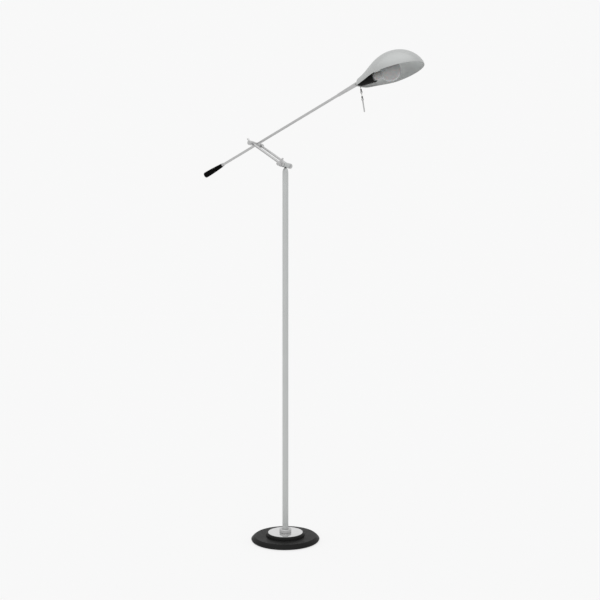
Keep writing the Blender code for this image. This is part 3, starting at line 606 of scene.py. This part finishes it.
def cut(made, cutter):
    """Takes the cutter out of a piece and removes the cutter."""
    modifier = made.modifiers.new("cut", "BOOLEAN")
    modifier.operation = "DIFFERENCE"
    modifier.solver = "EXACT"
    modifier.object = cutter
    applied(made)
    spent = cutter.data
    bpy.data.objects.remove(cutter)
    bpy.data.meshes.remove(spent)
    return made


def plain_rod(name, axis, radius, low, high, segments=SEGMENTS):
    return lathe(name, axis, [(0, low), (radius, low), (radius, high), (0, high)], segments=segments)


def block(name, axis, size, edge):
    """A box with rounded edges, centred on its frame."""
    shape = bmesh.new()
    bmesh.ops.create_cube(shape, size=1.0)
    bmesh.ops.scale(shape, vec=size, verts=shape.verts)
    bmesh.ops.bevel(shape, geom=shape.edges, offset=edge, segments=4, profile=0.5, affect="EDGES")
    return linked(name, shape, axis)


# ---- Base
def build_felt():
    radius, low, high = reach("felt_pad", POLE_AXIS)
    edge = (high - low) * FELT_EDGE_SHARE
    outline = eased([(0, low, 0), (radius, low, edge), (radius, high, edge), (0, high, 0)])
    stands_for(lathe("felt_disc", POLE_AXIS, outline, segments=BASE_SEGMENTS), "felt_pad")


def build_weight(grommet_size):
    """The cast disc: a crease over a bowed shoulder, a recess below and a channel for the grommet."""
    radius, low, high = reach("base_weight", POLE_AXIS)
    rod_bore = bore("base_weight", POLE_AXIS)
    recess_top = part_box("tie_washer")[1].z + SEAT_CLEARANCE
    flat = radius - SHOULDER_WIDTH
    shoulder = [(flat - CREASE_EASE, high)]
    shoulder += bowed((flat, high), (radius, BELLY_HEIGHT), SHOULDER_BOW, SHOULDER_STEPS)
    foot = radius - FOOT_INSET
    bottom = eased([(radius, BELLY_HEIGHT, 0), (foot, low, FOOT_EDGE),
                    (RECESS_RADIUS, low, RECESS_EDGE), (RECESS_RADIUS, recess_top, 0),
                    (rod_bore, recess_top, 0), (rod_bore, high, 0)])
    weight = lathe("cast_base", POLE_AXIS, shoulder + bottom[1:], ring=True, segments=BASE_SEGMENTS)
    channel_size = (grommet_size.x + 2 * SEAT_CLEARANCE, radius, 2 * (grommet_size.z + SEAT_CLEARANCE))
    channel_axis = Matrix.Translation((0, (RECESS_RADIUS + radius) / 2, low))
    cut(weight, block("cord_channel", channel_axis, channel_size, EDGE))
    stands_for(weight, "base_weight")


def build_grommet(size):
    middle = centre("cord_grommet")
    grommet = block("rubber_grommet", Matrix.Translation(middle), size, GROMMET_EDGE)
    hole_axis = axis_at(middle, BARREL, FORWARD)
    cut(grommet, plain_rod("grommet_hole", hole_axis, GROMMET_HOLE_RADIUS, -size.y, size.y))
    stands_for(grommet, "cord_grommet")


def build_riser():
    """The raised step, and the polished disc let into it."""
    radius, low, high = reach("base_step", POLE_AXIS)
    rod_bore = bore("base_step", POLE_AXIS)
    plate_radius, seat, plate_top = reach("base_plate", POLE_AXIS)
    neck = radius - STEP_FLANK_WIDTH
    knee = low + STEP_FOOT_HEIGHT
    outline = [(plate_radius + SEAT_CLEARANCE, high), (neck - CREASE_EASE, high)]
    outline += arc((neck, knee), STEP_FLANK_WIDTH, high - knee, 90, 0, FLANK_STEPS)
    outline += [(radius, low), (rod_bore, low), (rod_bore, seat), (plate_radius + SEAT_CLEARANCE, seat)]
    stands_for(lathe("base_riser", POLE_AXIS, outline, ring=True, segments=BASE_SEGMENTS), "base_step")

    outline = eased([(plate_radius, plate_top, PLATE_EDGE), (plate_radius, seat, 0), (rod_bore, seat, 0),
                     (rod_bore, plate_top, 0)])
    stands_for(lathe("pale_disc", POLE_AXIS, outline, ring=True, segments=BASE_SEGMENTS), "base_plate")


def build_collar():
    radius, low, high = reach("pole_collar", POLE_AXIS)
    inner = bore("pole_collar", POLE_AXIS)
    outline = eased([(radius, high, COLLAR_EDGE), (radius, low, EDGE), (inner, low, 0),
                     (inner, high, EDGE)])
    stands_for(lathe("foot_collar", POLE_AXIS, outline, ring=True), "pole_collar", look="turned_steel")


def build_base():
    grommet_low, grommet_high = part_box("cord_grommet")
    grommet_size = grommet_high - grommet_low
    build_felt()
    build_weight(grommet_size)
    build_grommet(grommet_size)
    build_riser()
    build_collar()


# ---- Pole and swivel
def build_pole(tube_bore):
    radius, low, high = reach("pole_tube", POLE_AXIS)
    outline = eased([(radius, high, TUBE_EDGE), (radius, low, TUBE_EDGE), (tube_bore, low, 0),
                     (tube_bore, high, 0)])
    stands_for(lathe("pole", POLE_AXIS, outline, ring=True), "pole_tube")


def build_cap(tube_bore):
    """The rounded cap, with a spigot in the tube and a bore for the swivel's stem."""
    radius, low, high = reach("pole_top_cap", POLE_AXIS)
    stem_bore = bore("pole_top_cap", POLE_AXIS)
    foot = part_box("pole_tube")[1].z
    top_radius = stem_bore + CAP_TOP_LAND
    outline = arc((top_radius, foot), radius - top_radius, high - foot, CAP_TOP_ANGLE, 0, CAP_STEPS)
    outline += [(tube_bore - SEAT_CLEARANCE, foot), (tube_bore - SEAT_CLEARANCE, low), (stem_bore, low)]
    outline += [(stem_bore, high - CAP_BORE_EDGE), (stem_bore + CAP_BORE_EDGE, high)]
    stands_for(lathe("pole_cap", POLE_AXIS, outline, ring=True), "pole_top_cap")


def build_swivel():
    radius, low, high = reach("swivel_stem", POLE_AXIS)
    outline = eased([(0, low, 0), (radius, low, EDGE), (radius, high, 0), (0, high, 0)])
    stands_for(lathe("turning_stem", POLE_AXIS, outline, segments=SMALL_SEGMENTS), "swivel_stem")

    build_barrel_ring("swivel_hub", "pivot_hub", LOWER_AXIS, HUB_EDGE)


def build_post():
    tube_bore = bore("pole_tube", POLE_AXIS)
    build_pole(tube_bore)
    build_cap(tube_bore)
    build_swivel()


# ---- Pivot barrels
def build_barrel_ring(name, node, axis, edge, look=None):
    """A hub, a washer or an eye: a ring with rounded edges."""
    radius, low, high = reach(node, axis)
    inner = bore(node, axis)
    outline = eased([(radius, high, edge), (radius, low, edge), (inner, low, 0), (inner, high, 0)])
    return stands_for(lathe(name, axis, outline, ring=True), node, look=look)


def build_head(name, node, axis, eye):
    """A shaft with a domed head outside its far eye, slotted for a screwdriver."""
    radius, low, high = reach(node, axis)
    shank = shank_radius(node, axis)
    neck = reach(eye, axis)[2] + SEAT_CLEARANCE
    rim = (neck + high) / 2
    outline = [(0, low), (shank, low), (shank, neck), (radius, neck)]
    outline += arc((0, rim), radius, high - rim, 0, 90, HEAD_STEPS)
    made = lathe(name, axis, outline, segments=SMALL_SEGMENTS)
    slot_axis = axis @ Matrix.Translation((0, 0, high))
    slot_size = (radius * 3, SCREW_SLOT, 2 * SCREW_SLOT_DEPTH)
    cut(made, block(name + "_slot", slot_axis, slot_size, SCREW_SLOT_EDGE))
    return stands_for(made, node, look="turned_steel")


def knurl(low, high):
    """A swell that cuts two crossed sets of fine flutes between two heights."""
    def swell(angle, radius, height):
        if not low < height < high:
            return radius
        lean = (height - low) / (high - low) * KNURL_TURNS * 2 * math.pi
        flutes = math.cos(KNURL_COUNT * angle + lean) * math.cos(KNURL_COUNT * angle - lean)
        return radius - KNURL_DEPTH * (1 - flutes) / 2
    return swell


def groove(radius, top):
    """A turned groove's outline, from its upper edge to its lower."""
    slope = GROOVE_WIDTH * GROOVE_SLOPE_SHARE
    bottom = top - GROOVE_WIDTH
    return [(radius, top), (radius - GROOVE_DEPTH, top - slope), (radius - GROOVE_DEPTH, bottom + slope),
            (radius, bottom)]


def build_knob(name, node, bar_name, bar_node, axis, shaft):
    """A lock knob: a plain stretch that the tommy bar stands in, and a knurled band where there is room."""
    radius, low, high = reach(node, axis)
    inner = bore_at_end(node, axis)
    bore_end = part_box(shaft)[0].y - axis.translation.y - EDGE / 2
    bar_height = centre(bar_node).y - axis.translation.y
    if high - bar_height > bar_height - low:
        band_low, band_high = bar_height + KNURL_FROM_BAR, high - KNURL_FROM_END
    else:
        band_low, band_high = low + KNURL_FROM_END, bar_height - KNURL_FROM_BAR
    band = [(radius, band_high - (band_high - band_low) * i / KNURL_ROWS) for i in range(KNURL_ROWS + 1)]
    outline = [(0, bore_end), (inner, bore_end), (inner, high)]
    outline += eased([(inner, high, 0), (radius, high, EDGE), (radius, low, 0)])[1:-1]
    outline += groove(radius, band_high + GROOVE_WIDTH)
    outline += band[1:]
    outline += groove(radius, band_low)[1:]
    outline += eased([(radius, high, 0), (radius, low, KNOB_EDGE), (0, low, 0)])[1:]
    made = lathe(name, axis, outline, segments=KNURL_COUNT * KNURL_FACETS,
                 swell=knurl(band_low + TINY, band_high - TINY))

    middle = axis @ Vector((0, 0, bar_height))
    way = (far_end(bar_node, middle) - middle).normalized()
    bar_axis = axis_at(middle, way, BARREL)
    bar_radius, bar_low, bar_high = reach(bar_node, bar_axis)
    cut(made, plain_rod(name + "_hole", bar_axis, bar_radius + SEAT_CLEARANCE, bar_low - EDGE / 2, bar_high,
                        SMALL_SEGMENTS))
    stands_for(made, node, look="turned_steel")
    outline = [(0, bar_low), (bar_radius, bar_low)]
    outline += arc((0, bar_high - bar_radius), bar_radius, bar_radius, 0, 90, TIP_STEPS)
    stands_for(lathe(bar_name, bar_axis, outline, segments=SMALL_SEGMENTS), bar_node)


def build_link():
    for side in SIDES:
        build_barrel_ring(f"lower_spacer_{side}", f"lower_washer_{side}", LOWER_AXIS, WASHER_EDGE)
        build_barrel_ring(f"upper_spacer_{side}", f"upper_washer_{side}", UPPER_AXIS, WASHER_EDGE)
        build_barrel_ring(f"lower_rod_eye_{side}", f"lower_eye_{side}", LOWER_AXIS, LOWER_EYE_EDGE,
                          "turned_steel")
        build_barrel_ring(f"upper_rod_eye_{side}", f"upper_eye_{side}", UPPER_AXIS, UPPER_EYE_EDGE,
                          "turned_steel")
        axis = axis_at(centre(f"link_rod_{side}"), LINK_WAY, BARREL)
        radius, low, high = reach(f"link_rod_{side}", axis)
        outline = eased([(0, low, 0), (radius, low, EDGE), (radius, high, EDGE), (0, high, 0)])
        stands_for(lathe(f"twin_rod_{side}", axis, outline, segments=SMALL_SEGMENTS), f"link_rod_{side}",
                   look="rod_steel")
    build_head("lower_pivot_axle", "lower_axle", LOWER_AXIS, "lower_eye_far")
    build_head("upper_pivot_screw", "trunnion_far", UPPER_AXIS, "upper_eye_far")
    build_knob("lower_lock_knob", "lower_knob", "lower_lock_bar", "lower_tommy_bar", LOWER_AXIS,
               "lower_axle")
    build_knob("upper_lock_knob", "upper_knob", "upper_lock_bar", "upper_tommy_bar", UPPER_AXIS,
               "trunnion_near")


# ---- Boom
def build_boom():
    arm_radius, arm_low, arm_high = reach("boom_tube", BOOM_AXIS)
    arm_bore = bore("boom_tube", BOOM_AXIS)
    outline = eased([(arm_radius, arm_high, TUBE_EDGE), (arm_radius, arm_low, TUBE_EDGE),
                     (arm_bore, arm_low, 0), (arm_bore, arm_high, 0)])
    stands_for(lathe("boom", BOOM_AXIS, outline, ring=True), "boom_tube")
    build_block(arm_radius)
    build_grip(arm_radius + SEAT_CLEARANCE, arm_low)
    radius, low, high = reach("handle_ring", BOOM_AXIS)
    inner = bore("handle_ring", BOOM_AXIS)
    outline = eased([(radius, high, RING_NOSE_EDGE), (radius, low, HEEL_EDGE), (inner, low, 0),
                     (inner, high, EDGE / 2)])
    stands_for(lathe("grip_ferrule", BOOM_AXIS, outline, ring=True), "handle_ring", look="turned_steel")
    build_neck(arm_radius + SEAT_CLEARANCE, arm_high)


def build_block(arm_radius):
    """The cross block: the boom passes through it, and a shaft is seated in each end."""
    radius, low, high = reach("arm_block", UPPER_AXIS)
    outline = eased([(0, low, 0), (radius, low, BLOCK_EDGE), (radius, high, BLOCK_EDGE), (0, high, 0)])
    made = lathe("cross_block", UPPER_AXIS, outline)
    cut(made, plain_rod("boom_passage", BOOM_AXIS, arm_radius + SEAT_CLEARANCE, -2 * radius, 2 * radius))
    shaft = shank_radius("trunnion_near", UPPER_AXIS) + SEAT_CLEARANCE
    for sign in (-1, 1):
        ends = sorted((sign * (arm_radius + TRUNNION_STANDOFF), sign * 2 * high))
        cut(made, plain_rod("shaft_seat", UPPER_AXIS, shaft, *ends, SMALL_SEGMENTS))
    stands_for(made, "arm_block", look="turned_steel")


def build_grip(arm_bore, arm_low):
    """The handle: slim at the tube, filling out towards a rounded end."""
    radius, low, high = reach("handle_grip", BOOM_AXIS)
    shoulder = high - GRIP_SHOULDER
    full = low + GRIP_ROUND_END
    outline = [(0, arm_low - SEAT_CLEARANCE), (arm_bore, arm_low - SEAT_CLEARANCE), (arm_bore, high)]
    outline += eased([(arm_bore, high, 0), (GRIP_NECK_RADIUS, high, GRIP_SHOULDER),
                      (GRIP_NECK_RADIUS, low, 0)])[1:-1]
    for i in range(1, GRIP_ROWS + 1):
        part = i / GRIP_ROWS
        size = GRIP_NECK_RADIUS + (radius - GRIP_NECK_RADIUS) * math.sin(part * math.pi / 2)
        outline.append((size, shoulder + (full - shoulder) * part))
    outline += arc((0, full), radius, full - low, 0, -90, GRIP_END_STEPS)[1:]
    stands_for(lathe("handle", BOOM_AXIS, outline), "handle_grip")


def build_neck(arm_bore, arm_high):
    """The tapered ferrule, and the collar and nipple that turn with the shade."""
    radius, low, high = reach("boom_cone", BOOM_AXIS)
    nipple_radius, nipple_low, nipple_high = reach("neck_nipple", BOOM_AXIS)
    wire_bore = bore("neck_nipple", BOOM_AXIS)
    seat = nipple_low - SEAT_CLEARANCE
    stop = arm_high + SEAT_CLEARANCE
    socket = nipple_radius + SEAT_CLEARANCE
    outline = eased([(radius, high, CONE_NOSE_EDGE), (CONE_START_RADIUS, low, HEEL_EDGE),
                     (arm_bore, low, 0), (arm_bore, stop, 0), (wire_bore, stop, 0), (wire_bore, seat, 0),
                     (socket, seat, 0), (socket, high, 0)])
    stands_for(lathe("boom_ferrule", BOOM_AXIS, outline, ring=True), "boom_cone")
    radius, low, high = reach("neck_collar", BOOM_AXIS)
    inner = bore("neck_collar", BOOM_AXIS)
    outline = eased([(radius, high, EDGE), (radius, low, EDGE), (inner, low, 0), (inner, high, 0)])
    stands_for(lathe("shade_collar", BOOM_AXIS, outline, ring=True), "neck_collar", look="turned_steel")
    outline = []
    root = nipple_radius - NIPPLE_PITCH / 2
    turns = int((nipple_high - nipple_low) / NIPPLE_PITCH)
    for i in range(turns):
        top = nipple_high - i * NIPPLE_PITCH
        outline += [(root, top), (nipple_radius, top - NIPPLE_PITCH / 2)]
    outline += [(root, nipple_low), (wire_bore, nipple_low), (wire_bore, nipple_high)]
    nipple = lathe("threaded_nipple", BOOM_AXIS, outline, ring=True, segments=SMALL_SEGMENTS)
    stands_for(nipple, "neck_nipple")


# ---- Shade
def shade_size(station, start, most, most_at, power, end_round):
    """A size along the shade: a rounded end, a slow rise from it, then an elliptical fall to the tip."""
    if station < most_at:
        size = start + (most - start) * (0.5 - 0.5 * math.cos(math.pi * station / most_at))
    else:
        past = (station - most_at) / (SHADE_LENGTH - most_at)
        size = most * max(0.0, 1.0 - past * past) ** (0.5 * power)
    if station < end_round:
        short = 1.0 - station / end_round
        size *= math.sqrt(max(0.0, 1.0 - short * short))
    return size


def rim_lift(station):
    """How far the rim rises towards the neck, where the shell closes round the nipple."""
    return SHADE_NECK_LIFT * max(0.0, 1.0 - station / SHADE_LIFT_LENGTH) ** 2


def shade_stations():
    """Stations from the neck to the tip, closer where the outline turns."""
    found = [SHADE_END_ROUND_WIDE * (1 - math.cos(math.pi / 2 * i / SHADE_NECK_ROWS))
             for i in range(SHADE_NECK_ROWS)]
    for i in range(SHADE_ROWS + 1):
        part = math.sin(math.pi / 2 * i / SHADE_ROWS)
        found.append(SHADE_END_ROUND_WIDE + (SHADE_LENGTH - SHADE_END_ROUND_WIDE) * part)
    return found


def build_shade():
    """The spun shell: half-elliptical sections over a rim that lifts towards the neck, given a wall."""
    shape = bmesh.new()
    rows = []
    for station in shade_stations():
        width = shade_size(station, SHADE_NECK_HALF_WIDTH, SHADE_HALF_WIDTH, SHADE_WIDEST_AT, 1.0,
                           SHADE_END_ROUND_WIDE)
        height = shade_size(station, SHADE_NECK_HEIGHT, SHADE_HEIGHT, SHADE_HIGHEST_AT, SHADE_NOSE_POWER,
                            SHADE_END_ROUND_HIGH)
        lift = rim_lift(station)
        rim_z = SHADE_RIM_Z + lift
        rise = max(0.0, height - lift)
        if width < CLOSE:
            rows.append([shape.verts.new((station, 0.0, rim_z))] * (SHADE_COLUMNS + 1))
            continue
        row = []
        for i in range(SHADE_COLUMNS + 1):
            angle = math.pi * i / SHADE_COLUMNS
            point = (station, -math.cos(angle) * width, rim_z + math.sin(angle) * rise)
            row.append(shape.verts.new(point))
        rows.append(row)
    for first, second in zip(rows, rows[1:]):
        for i in range(SHADE_COLUMNS):
            corners = list(dict.fromkeys((first[i], second[i], second[i + 1], first[i + 1])))
            shape.faces.new(corners)
    axes = Matrix((SHADE_WAY, BARREL, -PULL)).transposed().to_4x4()
    axes.translation = NECK
    shell = linked("shade", shape, axes)
    top = max(shell.data.polygons, key=lambda face: face.center.z)
    if top.normal.z < 0:
        shell.data.flip_normals()
    shell.data.materials.append(LOOKS["shade_outside"])
    shell.data.materials.append(LOOKS["shade_inside"])
    wall = shell.modifiers.new("wall", "SOLIDIFY")
    wall.thickness = SHADE_WALL
    wall.offset = -1.0
    wall.use_even_offset = True
    wall.material_offset = 1
    applied(shell)
    nipple = reach("neck_nipple", NECK_AXIS)[0] + SEAT_CLEARANCE
    cut(shell, plain_rod("nipple_hole", NECK_AXIS, nipple, -CUTTER_REACH, CUTTER_REACH, SMALL_SEGMENTS))
    smoothed(shell)
    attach(shell, BODY_OF["shade_shell"])
    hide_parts("shade_shell")


# ---- Lampholder and bulb
def build_cup(spout_axis):
    """The trumpet-shaped cover, with holes for the nipple and the chain's spout."""
    radius, low, high = reach("socket_cup", SHADE_AXIS)
    neck = CUP_NECK_RADIUS
    end = high - CUP_LIP

    def cup_radius(height):
        return neck + (radius - neck) * ((height - low) / (end - low)) ** CUP_POWER

    heights = [low + (end - low) * (i / CUP_ROWS) ** CUP_CROWDING for i in range(CUP_ROWS + 1)]
    floor = reach("neck_nipple", NECK_AXIS)[2]
    hole = reach("neck_nipple", NECK_AXIS)[0] + SEAT_CLEARANCE
    outside = [(cup_radius(height), height) for height in reversed(heights)]
    inside = [(cup_radius(height) - CUP_WALL, height) for height in heights if height > floor + CUP_LIP]
    outline = eased([(radius - CUP_WALL, end, 0), (radius - CUP_LIP / 2, high, CUP_LIP / 2),
                     (radius, end, 0)])
    outline += outside[1:] + [(hole / 2, low), (hole / 2, floor)]
    outline += [(cup_radius(floor) - CUP_WALL, floor)] + inside[:-1]
    cup = lathe("socket_cover", SHADE_AXIS, outline, ring=True)
    cut(cup, plain_rod("nipple_hole", NECK_AXIS, hole, -CUTTER_REACH, floor + CUP_WALL, SMALL_SEGMENTS))
    spout_radius, spout_low, spout_high = reach("chain_spout", spout_axis)
    cut(cup, plain_rod("spout_hole", spout_axis, spout_radius + SEAT_CLEARANCE, spout_low, spout_high,
                       SMALL_SEGMENTS))
    stands_for(cup, "socket_cup")


def build_spout(spout_axis):
    radius, low, high = reach("chain_spout", spout_axis)
    inner = bore("chain_spout", spout_axis)
    outline = eased([(radius, high, 0), (radius, low, EDGE), (inner, low, EDGE / 2), (inner, high, 0)])
    stands_for(lathe("chain_guide", spout_axis, outline, ring=True, segments=SMALL_SEGMENTS), "chain_spout",
               look="turned_steel")


def build_holder(cap_radius):
    """The plastic lampholder, open to the bulb's cap down to the contact."""
    radius, low, high = reach("lamp_holder", SHADE_AXIS)
    mouth = cap_radius + SEAT_CLEARANCE
    contact_low = reach("centre_contact", SHADE_AXIS)[1] - SEAT_CLEARANCE
    outline = eased([(0, low, 0), (radius - HOLDER_CHAMFER, low, EDGE),
                     (radius, low + HOLDER_CHAMFER_HEIGHT, EDGE), (radius, high, EDGE / 2),
                     (mouth, high, HOLDER_MOUTH_EDGE), (mouth, contact_low, 0), (0, contact_low, 0)])
    stands_for(lathe("bulb_socket", SHADE_AXIS, outline), "lamp_holder")


def build_bulb_cap():
    """The bulb's thin screw cap, whose thread is a wave in its wall above a short taper."""
    radius, low, high = reach("bulb_cap", SHADE_AXIS)
    ridges = int((high - low - CAP_TAPER) / THREAD_PITCH)
    outline = [(0, low), (radius / 2, low)]
    steps = ridges * THREAD_STEPS
    for i in range(steps + 1):
        wave = 0.5 - 0.5 * math.cos(2 * math.pi * i / THREAD_STEPS)
        height = low + CAP_TAPER + (high - low - CAP_TAPER) * i / steps
        outline.append((radius - THREAD_DEPTH * wave, height))
    inner = radius - CAP_WALL - THREAD_DEPTH
    outline += [(inner, high), (inner, low + CAP_TAPER), (0, low + CAP_TAPER)]
    stands_for(lathe("bulb_screw_cap", SHADE_AXIS, outline), "bulb_cap")


def build_bulb(cap_radius, cap_high):
    """A round bulb whose globe runs into its neck in one soft curve."""
    radius, low, high = reach("bulb_globe", SHADE_AXIS)
    middle = high - radius
    join = math.degrees(math.acos(BULB_NECK_RADIUS / radius))
    throat = middle - radius * math.sin(math.radians(join))
    sleeve = cap_radius - CAP_WALL - THREAD_DEPTH - SEAT_CLEARANCE

    def skin(inset, neck):
        size = radius - inset
        soft = BULB_THROAT_EASE
        leave = math.radians(join) - soft / radius
        start = Vector((size * math.cos(leave), middle - size * math.sin(leave)))
        corner = Vector((neck, throat))
        stop = Vector((neck, throat - soft))
        points = arc((0, middle), size, size, 90, -math.degrees(leave), BULB_STEPS)[:-1]
        for i in range(THROAT_STEPS + 1):
            part = i / THROAT_STEPS
            bend = start * (1 - part) ** 2 + corner * 2 * part * (1 - part) + stop * part * part
            points.append(tuple(bend))
        return points

    rim = cap_high + SEAT_CLEARANCE
    outside = skin(0.0, BULB_NECK_RADIUS) + [(BULB_NECK_RADIUS, rim), (sleeve, rim), (sleeve, low)]
    inside = [(sleeve - BULB_GLASS, low), (sleeve - BULB_GLASS, cap_high + BULB_GLASS)]
    inside += list(reversed(skin(BULB_GLASS, BULB_NECK_RADIUS - BULB_GLASS)))
    stands_for(lathe("round_bulb", SHADE_AXIS, outside + inside), "bulb_globe")


def build_lampholder():
    spout_axis = axis_at(centre("chain_spout"), -PULL, SHADE_WAY)
    cap_radius, _, cap_high = reach("bulb_cap", SHADE_AXIS)
    build_cup(spout_axis)
    build_spout(spout_axis)
    build_holder(cap_radius)
    build_bulb_cap()
    build_bulb(cap_radius, cap_high)


# ---- Pull chain
def build_beads():
    for name, node in (("upper_chain_ball", "upper_bead"), ("lower_chain_ball", "lower_bead")):
        radius, low, high = reach(node, CHAIN_AXIS)
        inner = bore(node, CHAIN_AXIS)
        half = math.degrees(math.acos(inner / radius))
        outline = arc((0, (low + high) / 2), radius, radius, half, -half, BEAD_STEPS)
        stands_for(lathe(name, CHAIN_AXIS, outline, ring=True, segments=SMALL_SEGMENTS), node)


def build_bells():
    """The bells under the beads, fuller in the middle than at their ends."""
    for name, node in (("upper_chain_bell", "upper_bell"), ("lower_chain_bell", "lower_bell")):
        radius, low, high = reach(node, CHAIN_AXIS)
        inner = bore(node, CHAIN_AXIS)
        outline = []
        for i in range(BELL_ROWS + 1):
            part = i / BELL_ROWS
            size = BELL_END_SHARE + (1 - BELL_END_SHARE) * math.sin(math.pi * part) ** BELL_POWER
            outline.append((radius * size, high + (low - high) * part))
        outline += [(inner, low), (inner, high)]
        stands_for(lathe(name, CHAIN_AXIS, outline, ring=True, segments=SMALL_SEGMENTS), node,
                   look="turned_steel")


def build_pull():
    """The wire, and the rod at its end that a hand pulls."""
    wire_radius, wire_low, wire_high = reach("pull_wire", CHAIN_AXIS)
    wire_rod = plain_rod("chain_wire", CHAIN_AXIS, wire_radius, wire_low, wire_high, SMALL_SEGMENTS)
    stands_for(wire_rod, "pull_wire")
    radius, low, high = reach("pull_rod", CHAIN_AXIS)
    inner = bore_at_end("pull_rod", CHAIN_AXIS)
    outline = [(0, wire_low - SEAT_CLEARANCE), (inner, wire_low - SEAT_CLEARANCE), (inner, high)]
    outline += eased([(inner, high, 0), (radius, high, EDGE), (radius, low, 0)])[1:-1]
    outline += groove(radius, high - PULL_GROOVE_DROP)
    outline += arc((0, low + radius), radius, radius, 0, -90, TIP_STEPS)
    stands_for(lathe("pull_handle", CHAIN_AXIS, outline, segments=SMALL_SEGMENTS), "pull_rod")


# ---- Room
def build_room():
    """A plain pale floor that fades into an equally pale room, so the lamp keeps a soft contact shadow."""
    world = bpy.data.worlds.new("room")
    world.use_nodes = True
    world.node_tree.nodes["Background"].inputs["Color"].default_value = (*grey(ROOM_LEVEL), 1.0)
    world.node_tree.nodes["Background"].inputs["Strength"].default_value = 1.0
    bpy.context.scene.world = world

    shape = bmesh.new()
    bmesh.ops.create_circle(shape, cap_ends=True, radius=FLOOR_RADIUS, segments=FLOOR_SEGMENTS)
    floor = linked("floor", shape, Matrix.Identity(4))
    if floor.data.polygons[0].normal.z < 0:
        floor.data.flip_normals()
    made = bpy.data.materials.new("floor")
    made.use_nodes = True
    tree = made.node_tree
    tree.nodes.clear()
    sheen = add(tree, "ShaderNodeBsdfDiffuse", {"Color": (*grey(FLOOR_SHARE), 1.0)}).outputs["BSDF"]
    sunlit = FLOOR_SHARE * SUN_POWER * math.sin(math.radians(SUN_HEIGHT)) / math.pi
    glow = {"Color": (*grey(1.0), 1.0), "Strength": ROOM_LEVEL * (1 - FLOOR_SHARE) - sunlit}
    light = add(tree, "ShaderNodeEmission", glow).outputs["Emission"]
    both = add(tree, "ShaderNodeAddShader", {0: sheen, 1: light}).outputs["Shader"]
    add(tree, "ShaderNodeOutputMaterial", {"Surface": both})
    floor.data.materials.append(made)

    sun = bpy.data.lights.new("soft_sky", "SUN")
    sun.energy = SUN_POWER
    sun.angle = math.radians(SUN_SPREAD)
    lamp = bpy.data.objects.new("soft_sky", sun)
    bpy.context.scene.collection.objects.link(lamp)
    turn = math.radians(CAMERA_TURN + SUN_ASIDE)
    lamp.rotation_euler = (math.radians(90 - SUN_HEIGHT), 0, turn)


def build_camera():
    """Level, at about a seated person's eye height, looking across the boom."""
    data = bpy.data.cameras.new("camera")
    data.sensor_width = CAMERA_SENSOR
    data.lens = CAMERA_LENS
    data.clip_end = 3 * FLOOR_RADIUS
    camera = bpy.data.objects.new("camera", data)
    bpy.context.scene.collection.objects.link(camera)
    turn = math.radians(CAMERA_TURN)
    right = Vector((math.cos(turn), math.sin(turn), 0))
    ahead = Vector((-math.sin(turn), math.cos(turn), 0))
    camera.location = right * CAMERA_ASIDE - ahead * CAMERA_DISTANCE + UP * CAMERA_HEIGHT
    camera.rotation_euler = (math.pi / 2, 0, turn)
    bpy.context.scene.camera = camera
    bpy.context.scene.view_settings.view_transform = "Standard"


dress_cad_nodes()
build_base()
build_post()
build_link()
build_boom()
build_shade()
build_lampholder()
build_beads()
build_bells()
build_pull()
build_room()
build_camera()
